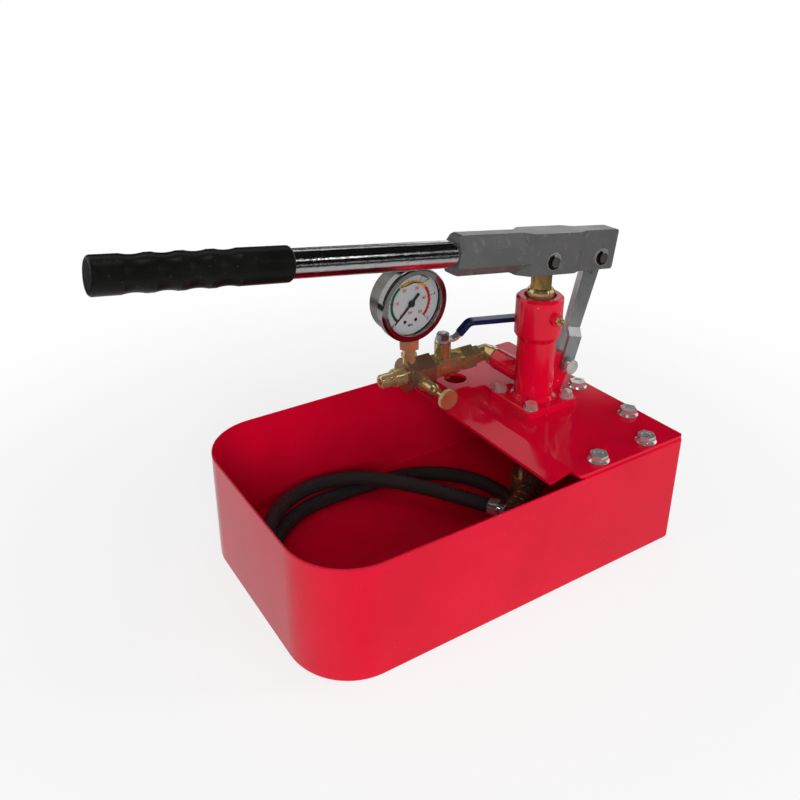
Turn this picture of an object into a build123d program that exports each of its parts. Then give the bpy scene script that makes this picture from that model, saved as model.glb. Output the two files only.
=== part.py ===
from build123d import *
import math
import os

# A hand-lever pressure test pump on an open steel tank, in millimetres.
# The origin is the centre of the tank's bottom, +X runs along the tank to the pump,
# +Y runs to the valve side and +Z is up.

# Tank: a folded sheet tray, open at the round end and covered at the square end
tank_length = 354.0
tank_width = 230.0
tank_wall = 1.2
covered_rim_height = 103.0
open_rim_step = 1.0
round_corner_radius = 51.5
square_corner_radius = 5.0
tank_bottom_bend = 3.0
rim_flange_width = 20.0
rim_flange_setback = 4.5
rim_bend_radius = 2.0

# Cover plate over the pump end
cover_thickness = 3.0
cover_edge_inset = 1.0
cover_fold_reach = 50.5
cover_corner_radius = 3.0
lip_run = 21.5
lip_drop = 4.6
lip_side_inset = 11.0
lip_corner_radius = 2.5
drain_hole_radius = 11.0
drain_hole_reach = 32.0
drain_hole_from_side = 40.0
barrel_hole_clearance = 0.5

# Cover bolts: flanged hexagon heads
cover_bolt_inset = 11.5
cover_bolt_flats = 13.0
cover_bolt_head_height = 5.6
cover_bolt_flange_radius = 8.9
cover_bolt_flange_height = 1.8
cover_bolt_shank_radius = 4.0
cover_bolt_shank_length = 14.0
cover_bolt_hole_radius = 4.3
cover_bolt_dish_radius = 4.2
cover_bolt_dish_depth = 0.8
cover_bolt_first_reach = 21.0
cover_bolt_pitch_x = 55.0
cover_bolt_end_inset = 52.0

# Pump body: a casting that stands on the cover
pump_from_end = 69.0
gasket_thickness = 1.0
foot_side = 56.0
foot_thickness = 7.0
foot_corner_radius = 3.0
foot_edge_radius = 1.2
foot_bolt_spacing = 42.0
barrel_radius = 17.4
barrel_foot_fillet = 2.8
collar_radius = 20.7
collar_height = 35.0
collar_taper_height = 5.0
collar_edge_radius = 2.0
barrel_height = 57.0
piston_bore_radius = 12.0
piston_bore_floor = 2.0
gland_recess_radius = 14.0
gland_recess_depth = 6.0
gland_thread_radius = 13.0
gland_thread_depth = 14.0
packing_height = 7.0
gland_crown_gap = 2.0
gland_crown_height = 6.8
gland_crown_rim = 1.6
spigot_radius = 15.0
spigot_length = 10.0
inlet_port_radius = 4.5
inlet_socket_radius = 10.0
inlet_socket_depth = 8.0

# Side port that carries the outlet check ball
port_rise = 14.5
port_radius = 10.2
port_end_y = 51.0
port_bore_radius = 3.5
port_chamber_radius = 6.0
port_seat_y = 30.0
outlet_ball_radius = 4.5
ball_rest_gap = 0.02

# Grease boss and nipple on the collar
grease_boss_drop = 16.0
grease_boss_radius = 5.8
grease_boss_end_y = -24.0
grease_boss_flats_depth = 1.6
nipple_thread_radius = 3.0
nipple_thread_depth = 5.0
nipple_hex_flats = 7.0
nipple_hex_length = 3.0
nipple_neck_radius = 1.9
nipple_neck_length = 2.8
nipple_ball_radius = 2.4

# Fulcrum lug beside the barrel
fulcrum_reach = 32.0
fulcrum_height = 24.0
lug_half_thickness = 5.0
lug_radius = 9.5
fulcrum_pin_radius = 5.0
fulcrum_head_radius = 7.0
fulcrum_head_length = 3.0
fulcrum_head_gap = 3.6
fulcrum_tail_length = 4.5

# Foot bolts: plain hexagon heads on flat washers
foot_bolt_flats = 10.0
foot_bolt_head_height = 4.4
foot_bolt_shank_radius = 3.0
foot_bolt_length = 13.5
foot_bolt_hole_radius = 3.3
foot_washer_radius = 6.4
foot_washer_thickness = 1.4

# Inlet side, hung below the cover
inlet_body_radius = 14.0
inlet_body_length = 24.0
inlet_chamber_radius = 7.0
inlet_chamber_height = 11.0
inlet_seat_height = 8.0
inlet_ball_radius = 6.0
inlet_cage_height = 5.0
inlet_cage_radius = 8.5
suction_pipe_radius = 8.0
suction_pipe_bore = 6.0
suction_pipe_thread = 6.0
strainer_radius = 15.0
strainer_height = 22.0
strainer_wall = 1.5
strainer_foot_gap = 6.0
strainer_hole_radius = 1.6
strainer_hole_count = 10
strainer_row_pitch = 5.0
strainer_first_row = 5.0
strainer_rows = 3

# Piston
rod_radius = 9.0
rod_below_pin = 87.5
piston_height = 10.0
piston_running_gap = 0.05
piston_spigot_radius = 5.0
seal_section_radius = 1.2
seal_squeeze_gap = 0.02
rod_eye_radius = 11.5
rod_eye_half_width = 9.1
rod_eye_offset = 1.1
eye_slot_reach = 1.9
eye_slot_rise = 1.1

# Lever linkage at rest
piston_pin_above_collar = 34.0
lever_tilt = 7.5
lever_arm = 60.5
pin_radius = 4.5
pin_running_gap = 0.05

# Lever head: fork around the piston rod, lobe around the links, octagonal socket
head_below_pin = 12.0
head_above_pin = 24.2
block_half_width = 13.0
block_left = 24.0
block_right = 27.0
block_nose = 34.0
nose_half_width = 6.0
nose_slant = 7.0
lobe_left = 36.7
lobe_right = 78.0
lobe_half_width = 8.2
lobe_corner_radius = 2.5
fork_half_width = 9.3
fork_left = 14.8
fork_right = 22.0
fork_roof = 14.6
link_slot_half_width = 3.45
link_slot_left = 43.0
link_slot_roof = 11.5
tube_above_pin = 8.0
socket_end = 99.5
socket_flat_half_width = 6.0
socket_top = 16.2
socket_shoulder = 6.0
socket_skirt = 9.0
socket_bottom = 17.0
socket_mouth_length = 4.0
socket_mouth_inset = 1.3
socket_depth = 56.0

# Lever tube and grip
tube_radius = 11.0
tube_wall = 1.8
tube_fit_gap = 0.05
tube_outer_end = 377.0
grip_length = 138.0
grip_radius = 13.2
grip_valley_depth = 1.0
grip_valley_pitch = 21.0
grip_first_valley = 28.0
grip_valley_half_length = 8.0
grip_valley_count = 4
grip_end_wall = 3.0
grip_end_radius = 2.4

# Pins, washers and spring clips in the lever head
pin_end_length = 1.5
washer_radius = 7.8
piston_washer_thickness = 0.8
link_washer_thickness = 2.4
clip_radius = 6.6
clip_thickness = 1.0
clip_groove_depth = 0.5
clip_offset = 0.5
clip_opening_width = 5.0
clip_stand_off = 0.1

# Link strips
strip_thickness = 3.0
strip_mid_gap = 0.1
strip_foot_gap = 0.3
strip_top_radius = 10.0
strip_foot_radius = 7.5
strip_waist_half_width = 8.0
strip_bend_top = 35.0
strip_bend_foot = 27.5
strip_hole_radius = 2.0
strip_hole_from_top = 15.6

# Valve line, parallel to the tank, in line with the side port
seal_ring_radius = 9.4
seal_ring_thickness = 2.0
elbow_radius = 7.8
elbow_collar_radius = 9.0
elbow_collar_length = 7.0
elbow_bore = 3.0
elbow_spigot_radius = 5.9
elbow_spigot_length = 11.0
elbow_hex_flats = 17.0
elbow_hex_length = 5.0
elbow_leg = 16.5
elbow_reach = 17.0
union_length = 14.5
union_gap = 2.0
union_flats = 22.0
union_back_wall = 3.0
union_tail_radius = 7.0
union_flange_radius = 8.4
union_flange_length = 2.4
union_thread_radius = 8.6
union_thread_gap = 0.1
union_tail_length = 7.5

# Ball valve
ball_setback = 14.0
ball_radius = 8.0
ball_bore = 4.0
ball_gap = 0.05
valve_barrel_radius = 11.5
valve_barrel_length = 23.5
valve_end_length = 14.0
valve_rib_radius = 12.2
valve_rib_length = 3.0
valve_rib_setback = 6.0
valve_cavity_radius = 9.0
insert_flats = 21.0
insert_length = 6.5
insert_spigot_length = 1.6
seat_inner_radius = 4.0
seat_length = 3.4
stem_boss_radius = 7.8
stem_boss_rise = 23.5
stem_radius = 3.5
stem_rise = 33.1
stem_tang_half_width = 1.5
stem_tang_half_length = 3.4
stem_tang_depth = 1.8
ball_slot_gap = 0.1
handle_washer_height = 1.0
handle_thickness = 2.2
handle_half_width = 5.0
handle_eye_radius = 7.5
handle_turn = 20.0
handle_bend_start = 11.5
handle_bend_run = 13.5
handle_bend_rise = 15.7
handle_bend_radius = 8.0
handle_reach = 92.0
sleeve_start_share = 0.3
sleeve_wall = 1.2
sleeve_round = 1.9
sleeve_end_wall = 1.6
stem_nut_flats = 11.0
stem_nut_inset = 1.5
stem_spacer_gap = 0.1
stem_nut_height = 6.0
stem_nut_chamfer = 1.0

# Hexagonal manifold with the outlet nipple, the gauge and the bleed valve
manifold_length = 28.0
manifold_flats = 28.0
manifold_collar_radius = 16.4
manifold_collar_length = 3.0
manifold_chamfer = 0.9
manifold_seat_rise = 12.0
manifold_bore = 3.5
cross_setback = 6.0
small_thread_radius = 5.0
small_thread_length = 7.0
valve_thread_radius = 7.2
valve_thread_length = 8.0
nipple_collar_radius = 8.7
nipple_collar_length = 10.0
nipple_taper_length = 2.6
nipple_body_radius = 7.6
outlet_thread_radius = 6.6
outlet_thread_length = 13.0
outlet_thread_pitch = 1.34
outlet_thread_depth = 0.5
outlet_tip_chamfer = 1.2
outlet_bore = 3.2
outlet_hex_bore_depth = 6.0

# Bleed valve
bleed_from_gauge = 4.6
bleed_drop = 3.0
bleed_hex_flats = 12.5
bleed_hex_length = 6.0
bleed_body_radius = 5.6
bleed_body_length = 14.0
bleed_cone_length = 3.5
bleed_neck_radius = 4.0
bleed_neck_length = 2.0
bleed_stem_radius = 2.4
bleed_stem_gap = 0.05
bleed_stem_reach = 13.0
knob_radius = 9.3
knob_thickness = 4.6
knob_hub_radius = 4.4
knob_hub_length = 3.0
knob_notch_count = 40
knob_notch_radius = 0.45
knob_edge_chamfer = 0.5
bleed_vent_radius = 1.5

# Pressure gauge
gauge_rise = 59.0
gauge_front_reach = 10.0
gauge_depth = 28.0
bezel_radius = 34.8
bezel_depth = 8.0
bezel_window_radius = 28.8
bezel_front_lip = 2.0
bezel_edge_radius = 2.2
case_radius = 32.0
case_wall = 1.2
case_edge_radius = 3.0
lens_thickness = 2.0
dial_radius = 30.0
dial_thickness = 0.8
dial_behind_lens = 4.6
pointer_length = 24.5
pointer_tail = 11.5
pointer_half_width = 0.7
pointer_tail_half_width = 1.3
pointer_thickness = 0.7
pointer_above_dial = 1.2
pointer_hub_radius = 3.2
pointer_hub_length = 1.6
pointer_shaft_radius = 1.0
pointer_shaft_length = 9.0
pointer_rest_angle = 225.0
gauge_shaft_gap = 0.05
movement_half_width = 9.0
movement_half_height = 7.0
movement_depth = 6.0
movement_behind_dial = 1.5
pressure_tube_radius = 23.0
pressure_tube_half_width = 1.6
pressure_tube_half_depth = 3.4
gauge_stem_radius = 7.4
gauge_stem_waist_radius = 6.2
gauge_stem_shank = 6.5
gauge_stem_rim = 2.5
gauge_stem_foot = 15.0
gauge_hex_flats = 17.0
gauge_hex_height = 11.0
gauge_neck_radius = 5.0
gauge_neck_gap = 0.1
gauge_stem_bore = 1.6

# Hose: braided, lying loose in the tank, from the raised fitting to the low one
hose_radius = 7.0
hose_bore = 3.6
hose_points = [
    (61.8, -47.9, 46.9),
    (17.0, -67.0, 37.0),
    (-29.0, -92.0, 18.0),
    (-98.0, -90.0, 8.5),
    (-152.0, -37.0, 8.5),
    (-152.0, 37.0, 8.5),
    (-101.0, 88.0, 8.5),
    (-30.0, 89.5, 8.5),
    (38.5, 83.0, 8.5),
    (85.0, 36.5, 8.5),
    (85.0, -29.0, 8.5),
    (38.5, -75.0, 8.5),
    (-34.0, -73.0, 10.5),
    (-102.0, -74.5, 22.0),
    (-150.0, -27.0, 23.0),
    (-150.0, 48.5, 23.0),
    (-100.0, 97.0, 23.0),
    (-33.0, 94.0, 23.0),
    (10.0, 45.0, 23.5),
    (32.0, 6.0, 25.0),
    (50.0, -28.5, 26.2),
]
bend_share = 0.45
ferrule_radius = 7.9
ferrule_cover = 24.0
ferrule_nose = 6.0
short_ferrule_cover = 8.0
short_ferrule_nose = 1.5
ferrule_ring_radius = 8.6
ferrule_ring_length = 2.4
ferrule_ring_pitch = 7.3
ferrule_ring_count = 4
tail_radius = 4.5
tail_bore = 2.5
tail_length = 19.0
tail_flange_radius = 6.0
tail_flange_length = 3.0
tail_flange_setback = 5.0
nut_flats = 19.0
nut_length = 15.0
nut_back_wall = 3.0
nut_bore_radius = 6.3
nut_running_gap = 0.05
nut_hex_chamfer = 0.8

# Heights and places that follow from the sizes above
open_rim_height = covered_rim_height - open_rim_step
cover_top = covered_rim_height + cover_thickness
gasket_top = cover_top + gasket_thickness
foot_top = gasket_top + foot_thickness
neck_z = foot_top + barrel_height
collar_low = neck_z + collar_taper_height
collar_top = collar_low + collar_height
piston_pin_z = collar_top + piston_pin_above_collar
pump_x = tank_length / 2 - pump_from_end
cover_fold_x = pump_x - cover_fold_reach
rim_flange_start = cover_fold_x + rim_flange_setback
drain_hole_x = pump_x - drain_hole_reach
drain_hole_y = tank_width / 2 - drain_hole_from_side
cover_bolt_first_x = pump_x - cover_bolt_first_reach
cover_bolt_end_pitch = tank_width / 2 - cover_bolt_end_inset
grease_boss_z = collar_top - grease_boss_drop
fulcrum_x = pump_x + fulcrum_reach
fulcrum_z = foot_top + fulcrum_height
link_pin_x = pump_x + lever_arm * math.cos(math.radians(lever_tilt))
link_pin_z = piston_pin_z - lever_arm * math.sin(math.radians(lever_tilt))
link_length = math.hypot(link_pin_x - fulcrum_x, link_pin_z - fulcrum_z)
link_tilt = math.degrees(math.atan2(link_pin_x - fulcrum_x, link_pin_z - fulcrum_z))
lever_place = Pos(pump_x, 0, piston_pin_z) * Rot(0, lever_tilt, 0)
link_place = Pos(fulcrum_x, 0, fulcrum_z) * Rot(0, link_tilt, 0)
port_z = foot_top + port_rise
valve_y = port_end_y + seal_ring_thickness + elbow_reach
elbow_end_x = pump_x - elbow_leg
barrel_end_x = elbow_end_x - union_tail_length
union_right = elbow_end_x - union_gap
union_left = union_right - union_length
valve_barrel_right = barrel_end_x - valve_end_length
valve_barrel_left = valve_barrel_right - valve_barrel_length
valve_rib_x = valve_barrel_right - valve_rib_setback
ball_valve_x = valve_barrel_right - ball_setback
insert_left = valve_barrel_left - insert_length
manifold_left = insert_left - manifold_length
cross_x = manifold_left + cross_setback
stem_boss_top = port_z + stem_boss_rise
stem_top = port_z + stem_rise
manifold_top = port_z + manifold_seat_rise
manifold_near_y = valve_y - manifold_flats / 2
bleed_x = cross_x + bleed_from_gauge
stem_place = Pos(ball_valve_x, valve_y, 0)
handle_place = stem_place * Rot(0, 0, -handle_turn)
gauge_z = manifold_top + gauge_rise
gauge_front_y = valve_y - gauge_front_reach
bleed_nose_reach = bleed_hex_length + bleed_body_length + bleed_cone_length + bleed_neck_length
bleed_stem_end = manifold_near_y - bleed_nose_reach - bleed_stem_reach


def rod_z(x, y, low, high, radius):
    """Round bar standing along Z."""
    return Pos(x, y, (low + high) / 2) * Cylinder(radius, high - low)


def rod_y(x, z, low, high, radius):
    """Round bar lying along Y."""
    return Pos(x, (low + high) / 2, z) * Rot(90, 0, 0) * Cylinder(radius, high - low)


def rod_x(y, z, low, high, radius):
    """Round bar lying along X."""
    return Pos((low + high) / 2, y, z) * Rot(0, 90, 0) * Cylinder(radius, high - low)


def slab(x_low, x_high, y_low, y_high, z_low, z_high):
    """Square-edged block between two corners."""
    middle = Pos((x_low + x_high) / 2, (y_low + y_high) / 2, (z_low + z_high) / 2)
    return middle * Box(x_high - x_low, y_high - y_low, z_high - z_low)


def hex_z(x, y, low, high, flats):
    """Hexagon bar standing along Z."""
    face = RegularPolygon(flats / 2, 6, major_radius=False)
    return Pos(x, y, low) * extrude(face, high - low)


def hex_x(y, z, low, high, flats):
    """Hexagon bar lying along X."""
    face = RegularPolygon(flats / 2, 6, major_radius=False)
    return Pos(low, y, z) * Rot(0, 90, 0) * extrude(face, high - low)


def hex_y(x, z, low, high, flats):
    """Hexagon bar lying along Y."""
    face = RegularPolygon(flats / 2, 6, major_radius=False)
    return Pos(x, high, z) * Rot(90, 0, 0) * extrude(face, high - low)


def bundle(shapes):
    """Several separate solids kept as one node."""
    return Compound([solid for shape in shapes for solid in shape.solids()])


def tank_outline(inset):
    """Plan of the tank wall, set in from its outside."""
    outline = Rectangle(tank_length - 2 * inset, tank_width - 2 * inset)
    ends = outline.vertices().group_by(Axis.X)
    outline = fillet(ends[0], round_corner_radius - inset)
    ends = outline.vertices().group_by(Axis.X)
    return fillet(ends[-1], max(square_corner_radius - inset, cover_corner_radius))


def cover_bolt_places():
    """Bolt centres around the covered rim."""
    side_y = tank_width / 2 - cover_bolt_inset
    end_x = tank_length / 2 - cover_bolt_inset - cover_edge_inset
    places = []
    for side in (-1, 1):
        places.append((cover_bolt_first_x, side * side_y))
        places.append((cover_bolt_first_x + cover_bolt_pitch_x, side * side_y))
    for step in (-1, 0, 1):
        places.append((end_x, step * cover_bolt_end_pitch))
    return places


def foot_bolt_places():
    """Bolt centres at the corners of the pump foot."""
    half = foot_bolt_spacing / 2
    return [(pump_x + sx * half, sy * half) for sx in (-1, 1) for sy in (-1, 1)]


def tray_block(inset, low, high, top_bend):
    """Solid block with the tank's plan, rounded along its bottom and its top."""
    block = Pos(0, 0, low) * extrude(tank_outline(inset), high - low)
    block = fillet(block.edges().group_by(Axis.Z)[0], tank_bottom_bend - inset)
    if top_bend > 0:
        block = fillet(block.edges().group_by(Axis.Z)[-1], top_bend)
    return block


def make_tank():
    """Sheet tray with a rim folded inward under the cover."""
    flange_low = covered_rim_height - tank_wall
    shell = tray_block(0, 0, covered_rim_height, rim_bend_radius)
    shell = shell - slab(-tank_length, rim_flange_start, -tank_width, tank_width, open_rim_height, cover_top)
    covered_hollow = tray_block(tank_wall, tank_wall, flange_low, rim_bend_radius - tank_wall)
    open_hollow = tray_block(tank_wall, tank_wall, cover_top, 0)
    open_hollow = open_hollow & slab(-tank_length, rim_flange_start, -tank_width, tank_width, 0, cover_top)
    window = extrude(tank_outline(rim_flange_width), cover_top - cover_thickness * 2)
    window = Pos(0, 0, cover_thickness * 2) * window
    tank = shell - covered_hollow - open_hollow - window
    for x, y in cover_bolt_places():
        tank = tank - rod_z(x, y, flange_low - tank_wall, cover_top, cover_bolt_hole_radius)
    return tank


def make_cover():
    """Flat plate with a sloped lip, a drain hole and the pump's hole."""
    side_y = tank_width / 2 - cover_edge_inset
    end_x = tank_length / 2 - cover_edge_inset
    plate = slab(cover_fold_x, end_x, -side_y, side_y, covered_rim_height, cover_top)
    plate = fillet(plate.edges().filter_by(Axis.Z), cover_corner_radius)
    lip_y = side_y - lip_side_inset
    lip_points = [
        (cover_fold_x, cover_top),
        (cover_fold_x - lip_run, cover_top - lip_drop),
        (cover_fold_x - lip_run, cover_top - lip_drop - cover_thickness),
        (cover_fold_x, covered_rim_height),
    ]
    lip_face = Plane.XZ * make_face(Polyline(*lip_points, close=True))
    lip = extrude(lip_face, lip_y, both=True)
    lip_plan = Pos(cover_fold_x, 0) * Rectangle(lip_run * 2, lip_y * 2)
    lip_plan = fillet(lip_plan.vertices().group_by(Axis.X)[0], lip_corner_radius)
    lip = lip & extrude(lip_plan, cover_top)
    cover = plate + lip
    cover = cover - rod_z(drain_hole_x, drain_hole_y, 0, cover_top, drain_hole_radius)
    cover = cover - rod_z(pump_x, 0, 0, cover_top, spigot_radius + barrel_hole_clearance)
    for x, y in cover_bolt_places():
        cover = cover - rod_z(x, y, 0, cover_top, cover_bolt_hole_radius)
    for x, y in foot_bolt_places():
        cover = cover - rod_z(x, y, 0, cover_top, foot_bolt_hole_radius)
    return cover


def cover_bolt(x, y):
    """One flanged bolt with a dished head."""
    flange_top = cover_top + cover_bolt_flange_height
    head_top = cover_top + cover_bolt_head_height
    bolt = rod_z(x, y, cover_top - cover_bolt_shank_length, flange_top, cover_bolt_shank_radius)
    flange = Pos(x, y, cover_top) * Cone(
        cover_bolt_flange_radius,
        cover_bolt_flats / 2,
        cover_bolt_flange_height,
        align=(Align.CENTER, Align.CENTER, Align.MIN),
    )
    head = hex_z(x, y, cover_top, head_top, cover_bolt_flats)
    dish = rod_z(x, y, head_top - cover_bolt_dish_depth, head_top, cover_bolt_dish_radius)
    return bolt + flange + head - dish


def make_cover_bolts():
    """All seven cover bolts."""
    return bundle([cover_bolt(x, y) for x, y in cover_bolt_places()])


def make_gasket():
    """Flat square gasket below the pump foot."""
    plan = RectangleRounded(foot_side, foot_side, foot_corner_radius)
    gasket = Pos(pump_x, 0, cover_top) * extrude(plan, gasket_thickness)
    gasket = gasket - rod_z(pump_x, 0, cover_top, gasket_top, spigot_radius + barrel_hole_clearance)
    for x, y in foot_bolt_places():
        gasket = gasket - rod_z(x, y, cover_top, gasket_top, foot_bolt_hole_radius)
    return gasket


def lug_shape():
    """Fulcrum lug: a web from the barrel out to a round end."""
    root_x = pump_x + barrel_radius / 2
    outline = [
        (root_x, gasket_top),
        (pump_x + foot_side / 2, gasket_top + foot_thickness / 2),
        (fulcrum_x + lug_radius, fulcrum_z),
        (fulcrum_x, fulcrum_z + lug_radius),
        (root_x, fulcrum_z + lug_radius * 2),
    ]
    web = extrude(Plane.XZ * make_face(Polyline(*outline, close=True)), lug_half_thickness, both=True)
    return web + rod_y(fulcrum_x, fulcrum_z, -lug_half_thickness, lug_half_thickness, lug_radius)


def make_pump_body():
    """Casting: foot, barrel, collar, side port, grease boss and lug."""
    plan = RectangleRounded(foot_side, foot_side, foot_corner_radius)
    foot = Pos(pump_x, 0, gasket_top) * extrude(plan, foot_thickness)
    foot = fillet(foot.edges().group_by(Axis.Z)[-1], foot_edge_radius)
    barrel_profile = [
        (0, foot_top - foot_thickness / 2),
        (barrel_radius + barrel_foot_fillet, foot_top - foot_thickness / 2),
        (barrel_radius + barrel_foot_fillet, foot_top),
        (barrel_radius, foot_top + barrel_foot_fillet),
        (barrel_radius, neck_z),
        (collar_radius, collar_low),
        (collar_radius, collar_top - collar_edge_radius),
        (collar_radius - collar_edge_radius, collar_top),
        (0, collar_top),
    ]
    face = Plane.XZ * make_face(Polyline(*barrel_profile, close=True))
    barrel = Pos(pump_x, 0, 0) * revolve(face, Axis.Z)
    port = rod_y(pump_x, port_z, 0, port_end_y, port_radius)
    boss = rod_y(pump_x, grease_boss_z, grease_boss_end_y, -piston_bore_radius, grease_boss_radius)
    spigot = rod_z(pump_x, 0, gasket_top - spigot_length - gasket_thickness, gasket_top, spigot_radius)
    body = foot + barrel + port + boss + spigot + lug_shape()
    bore_low = foot_top + piston_bore_floor
    body = body - rod_z(pump_x, 0, bore_low, collar_top, piston_bore_radius)
    thread_low = collar_top - gland_thread_depth - packing_height
    body = body - rod_z(pump_x, 0, thread_low, collar_top, gland_thread_radius)
    body = body - rod_z(pump_x, 0, collar_top - gland_recess_depth, collar_top, gland_recess_radius)
    spigot_low = gasket_top - spigot_length - gasket_thickness
    body = body - rod_z(pump_x, 0, spigot_low, bore_low, inlet_port_radius)
    body = body - rod_z(pump_x, 0, spigot_low, spigot_low + inlet_socket_depth, inlet_socket_radius)
    body = body - rod_y(pump_x, port_z, 0, port_end_y, port_bore_radius)
    body = body - rod_y(pump_x, port_z, port_seat_y, port_end_y, port_chamber_radius)
    nipple_bore_end = grease_boss_end_y + nipple_thread_depth
    body = body - rod_y(pump_x, grease_boss_z, grease_boss_end_y, nipple_bore_end, nipple_thread_radius)
    body = body - rod_y(pump_x, grease_boss_z, grease_boss_end_y, 0, nipple_neck_radius / 2)
    body = body - rod_y(fulcrum_x, fulcrum_z, -lug_half_thickness, lug_half_thickness, fulcrum_pin_radius)
    for x, y in foot_bolt_places():
        body = body - rod_z(x, y, gasket_top, foot_top, foot_bolt_hole_radius)
    return body


def foot_bolt(x, y):
    """One hexagon bolt."""
    seat = foot_top + foot_washer_thickness
    shank = rod_z(x, y, foot_top - foot_bolt_length, seat, foot_bolt_shank_radius)
    return shank + hex_z(x, y, seat, seat + foot_bolt_head_height, foot_bolt_flats)


def make_foot_bolts():
    """The four foot bolts."""
    return bundle([foot_bolt(x, y) for x, y in foot_bolt_places()])


def make_foot_washers():
    """The four foot washers."""
    seat = foot_top + foot_washer_thickness
    washers = []
    for x, y in foot_bolt_places():
        ring = rod_z(x, y, foot_top, seat, foot_washer_radius)
        washers.append(ring - rod_z(x, y, foot_top, seat, foot_bolt_hole_radius))
    return bundle(washers)


def make_gland_packing():
    """Packing ring around the rod."""
    low = collar_top - gland_thread_depth - packing_height
    ring = rod_z(pump_x, 0, low, low + packing_height, gland_thread_radius)
    return ring - rod_z(pump_x, 0, low, low + packing_height, rod_radius + piston_running_gap)


def make_gland_nut():
    """Brass gland: threaded shank, round neck and hexagon top with a coned edge."""
    low = collar_top - gland_thread_depth
    shank_top = collar_top - gland_recess_depth
    shank = rod_z(pump_x, 0, low, shank_top, gland_thread_radius)
    crown_radius = gland_recess_radius - gland_crown_gap
    crown = hex_z(pump_x, 0, shank_top, collar_top + gland_crown_height, crown_radius * 2)
    cone_low = Pos(pump_x, 0, shank_top) * Cone(
        crown_radius + gland_crown_height,
        rod_radius + gland_crown_rim,
        collar_top + gland_crown_height - shank_top,
        align=(Align.CENTER, Align.CENTER, Align.MIN),
    )
    crown = crown & cone_low
    crown = crown & rod_z(pump_x, 0, shank_top, collar_top + gland_crown_height, crown_radius)
    gland = shank + crown
    return gland - rod_z(pump_x, 0, low, collar_top + gland_crown_height, rod_radius + piston_running_gap)


def make_grease_nipple():
    """Brass nipple with a hexagon and a ball tip."""
    y = grease_boss_end_y
    thread = rod_y(pump_x, grease_boss_z, y, y + nipple_thread_depth, nipple_thread_radius)
    hexagon = hex_y(pump_x, grease_boss_z, y - nipple_hex_length, y, nipple_hex_flats)
    neck_end = y - nipple_hex_length - nipple_neck_length
    neck = rod_y(pump_x, grease_boss_z, neck_end, y, nipple_neck_radius)
    tip = Pos(pump_x, neck_end, grease_boss_z) * Sphere(nipple_ball_radius)
    return thread + hexagon + neck + tip


def make_fulcrum_pin():
    """Headed pin through the lug and the link feet."""
    strip_face = lug_half_thickness + strip_foot_gap + strip_thickness
    head_y = -strip_face - fulcrum_head_gap
    far_end = strip_face + fulcrum_tail_length
    pin = rod_y(fulcrum_x, fulcrum_z, head_y, far_end, fulcrum_pin_radius)
    head = rod_y(fulcrum_x, fulcrum_z, head_y - fulcrum_head_length, head_y, fulcrum_head_radius)
    groove_y = strip_face + clip_stand_off
    groove = rod_y(fulcrum_x, fulcrum_z, groove_y, groove_y + clip_thickness, fulcrum_pin_radius)
    core_radius = fulcrum_pin_radius - clip_groove_depth
    core = rod_y(fulcrum_x, fulcrum_z, groove_y, groove_y + clip_thickness, core_radius)
    return pin + head - groove + core


def spring_clip(x, z, near_y, far_y, hole_radius, ring_radius):
    """Open spring clip, thicker opposite its gap."""
    ring = rod_y(x - clip_offset, z - clip_offset, near_y, far_y, ring_radius)
    ring = ring - rod_y(x, z, near_y, far_y, hole_radius)
    gap_low = z + hole_radius / 2
    gap = slab(x - hole_radius / 2, x + ring_radius, near_y, far_y, gap_low, gap_low + ring_radius)
    return ring - gap


def make_fulcrum_clip():
    """Clip on the far end of the fulcrum pin."""
    low = lug_half_thickness + strip_foot_gap + strip_thickness + clip_stand_off
    core_radius = fulcrum_pin_radius - clip_groove_depth
    ring_radius = clip_radius + clip_groove_depth
    return spring_clip(fulcrum_x, fulcrum_z, low, low + clip_thickness, core_radius, ring_radius)


def inlet_levels():
    """Heights of the inlet body: bottom, ball seat, chamber top, top."""
    top = gasket_top - spigot_length - gasket_thickness
    low = top - inlet_body_length
    seat = low + inlet_seat_height
    return low, seat, seat + inlet_chamber_height, top


def make_inlet_body():
    """Foot valve body that screws up into the pump."""
    low, seat, chamber_top, top = inlet_levels()
    body = rod_z(pump_x, 0, low, top, inlet_body_radius)
    body = body + rod_z(pump_x, 0, top, top + inlet_socket_depth, inlet_socket_radius)
    body = body - rod_z(pump_x, 0, low, top + inlet_socket_depth, inlet_port_radius)
    body = body - rod_z(pump_x, 0, low, low + suction_pipe_thread, suction_pipe_radius)
    body = body - rod_z(pump_x, 0, seat, chamber_top, inlet_chamber_radius)
    return body - rod_z(pump_x, 0, chamber_top, top + inlet_socket_depth, inlet_cage_radius)


def make_inlet_cage():
    """Ring that keeps the inlet ball in its chamber."""
    low, seat, chamber_top, top = inlet_levels()
    ring = rod_z(pump_x, 0, chamber_top, chamber_top + inlet_cage_height, inlet_cage_radius)
    return ring - rod_z(pump_x, 0, chamber_top, chamber_top + inlet_cage_height, inlet_port_radius)


def make_inlet_ball():
    """Inlet ball on its seat."""
    low, seat, chamber_top, top = inlet_levels()
    lift = math.sqrt(inlet_ball_radius**2 - inlet_port_radius**2)
    return Pos(pump_x, 0, seat + lift + ball_rest_gap) * Sphere(inlet_ball_radius)


def make_suction_pipe():
    """Pipe from the inlet body down into the strainer."""
    low = inlet_levels()[0] + suction_pipe_thread
    foot = strainer_foot_gap + strainer_height - strainer_wall
    pipe = rod_z(pump_x, 0, foot, low, suction_pipe_radius)
    return pipe - rod_z(pump_x, 0, foot, low, suction_pipe_bore)


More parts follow.
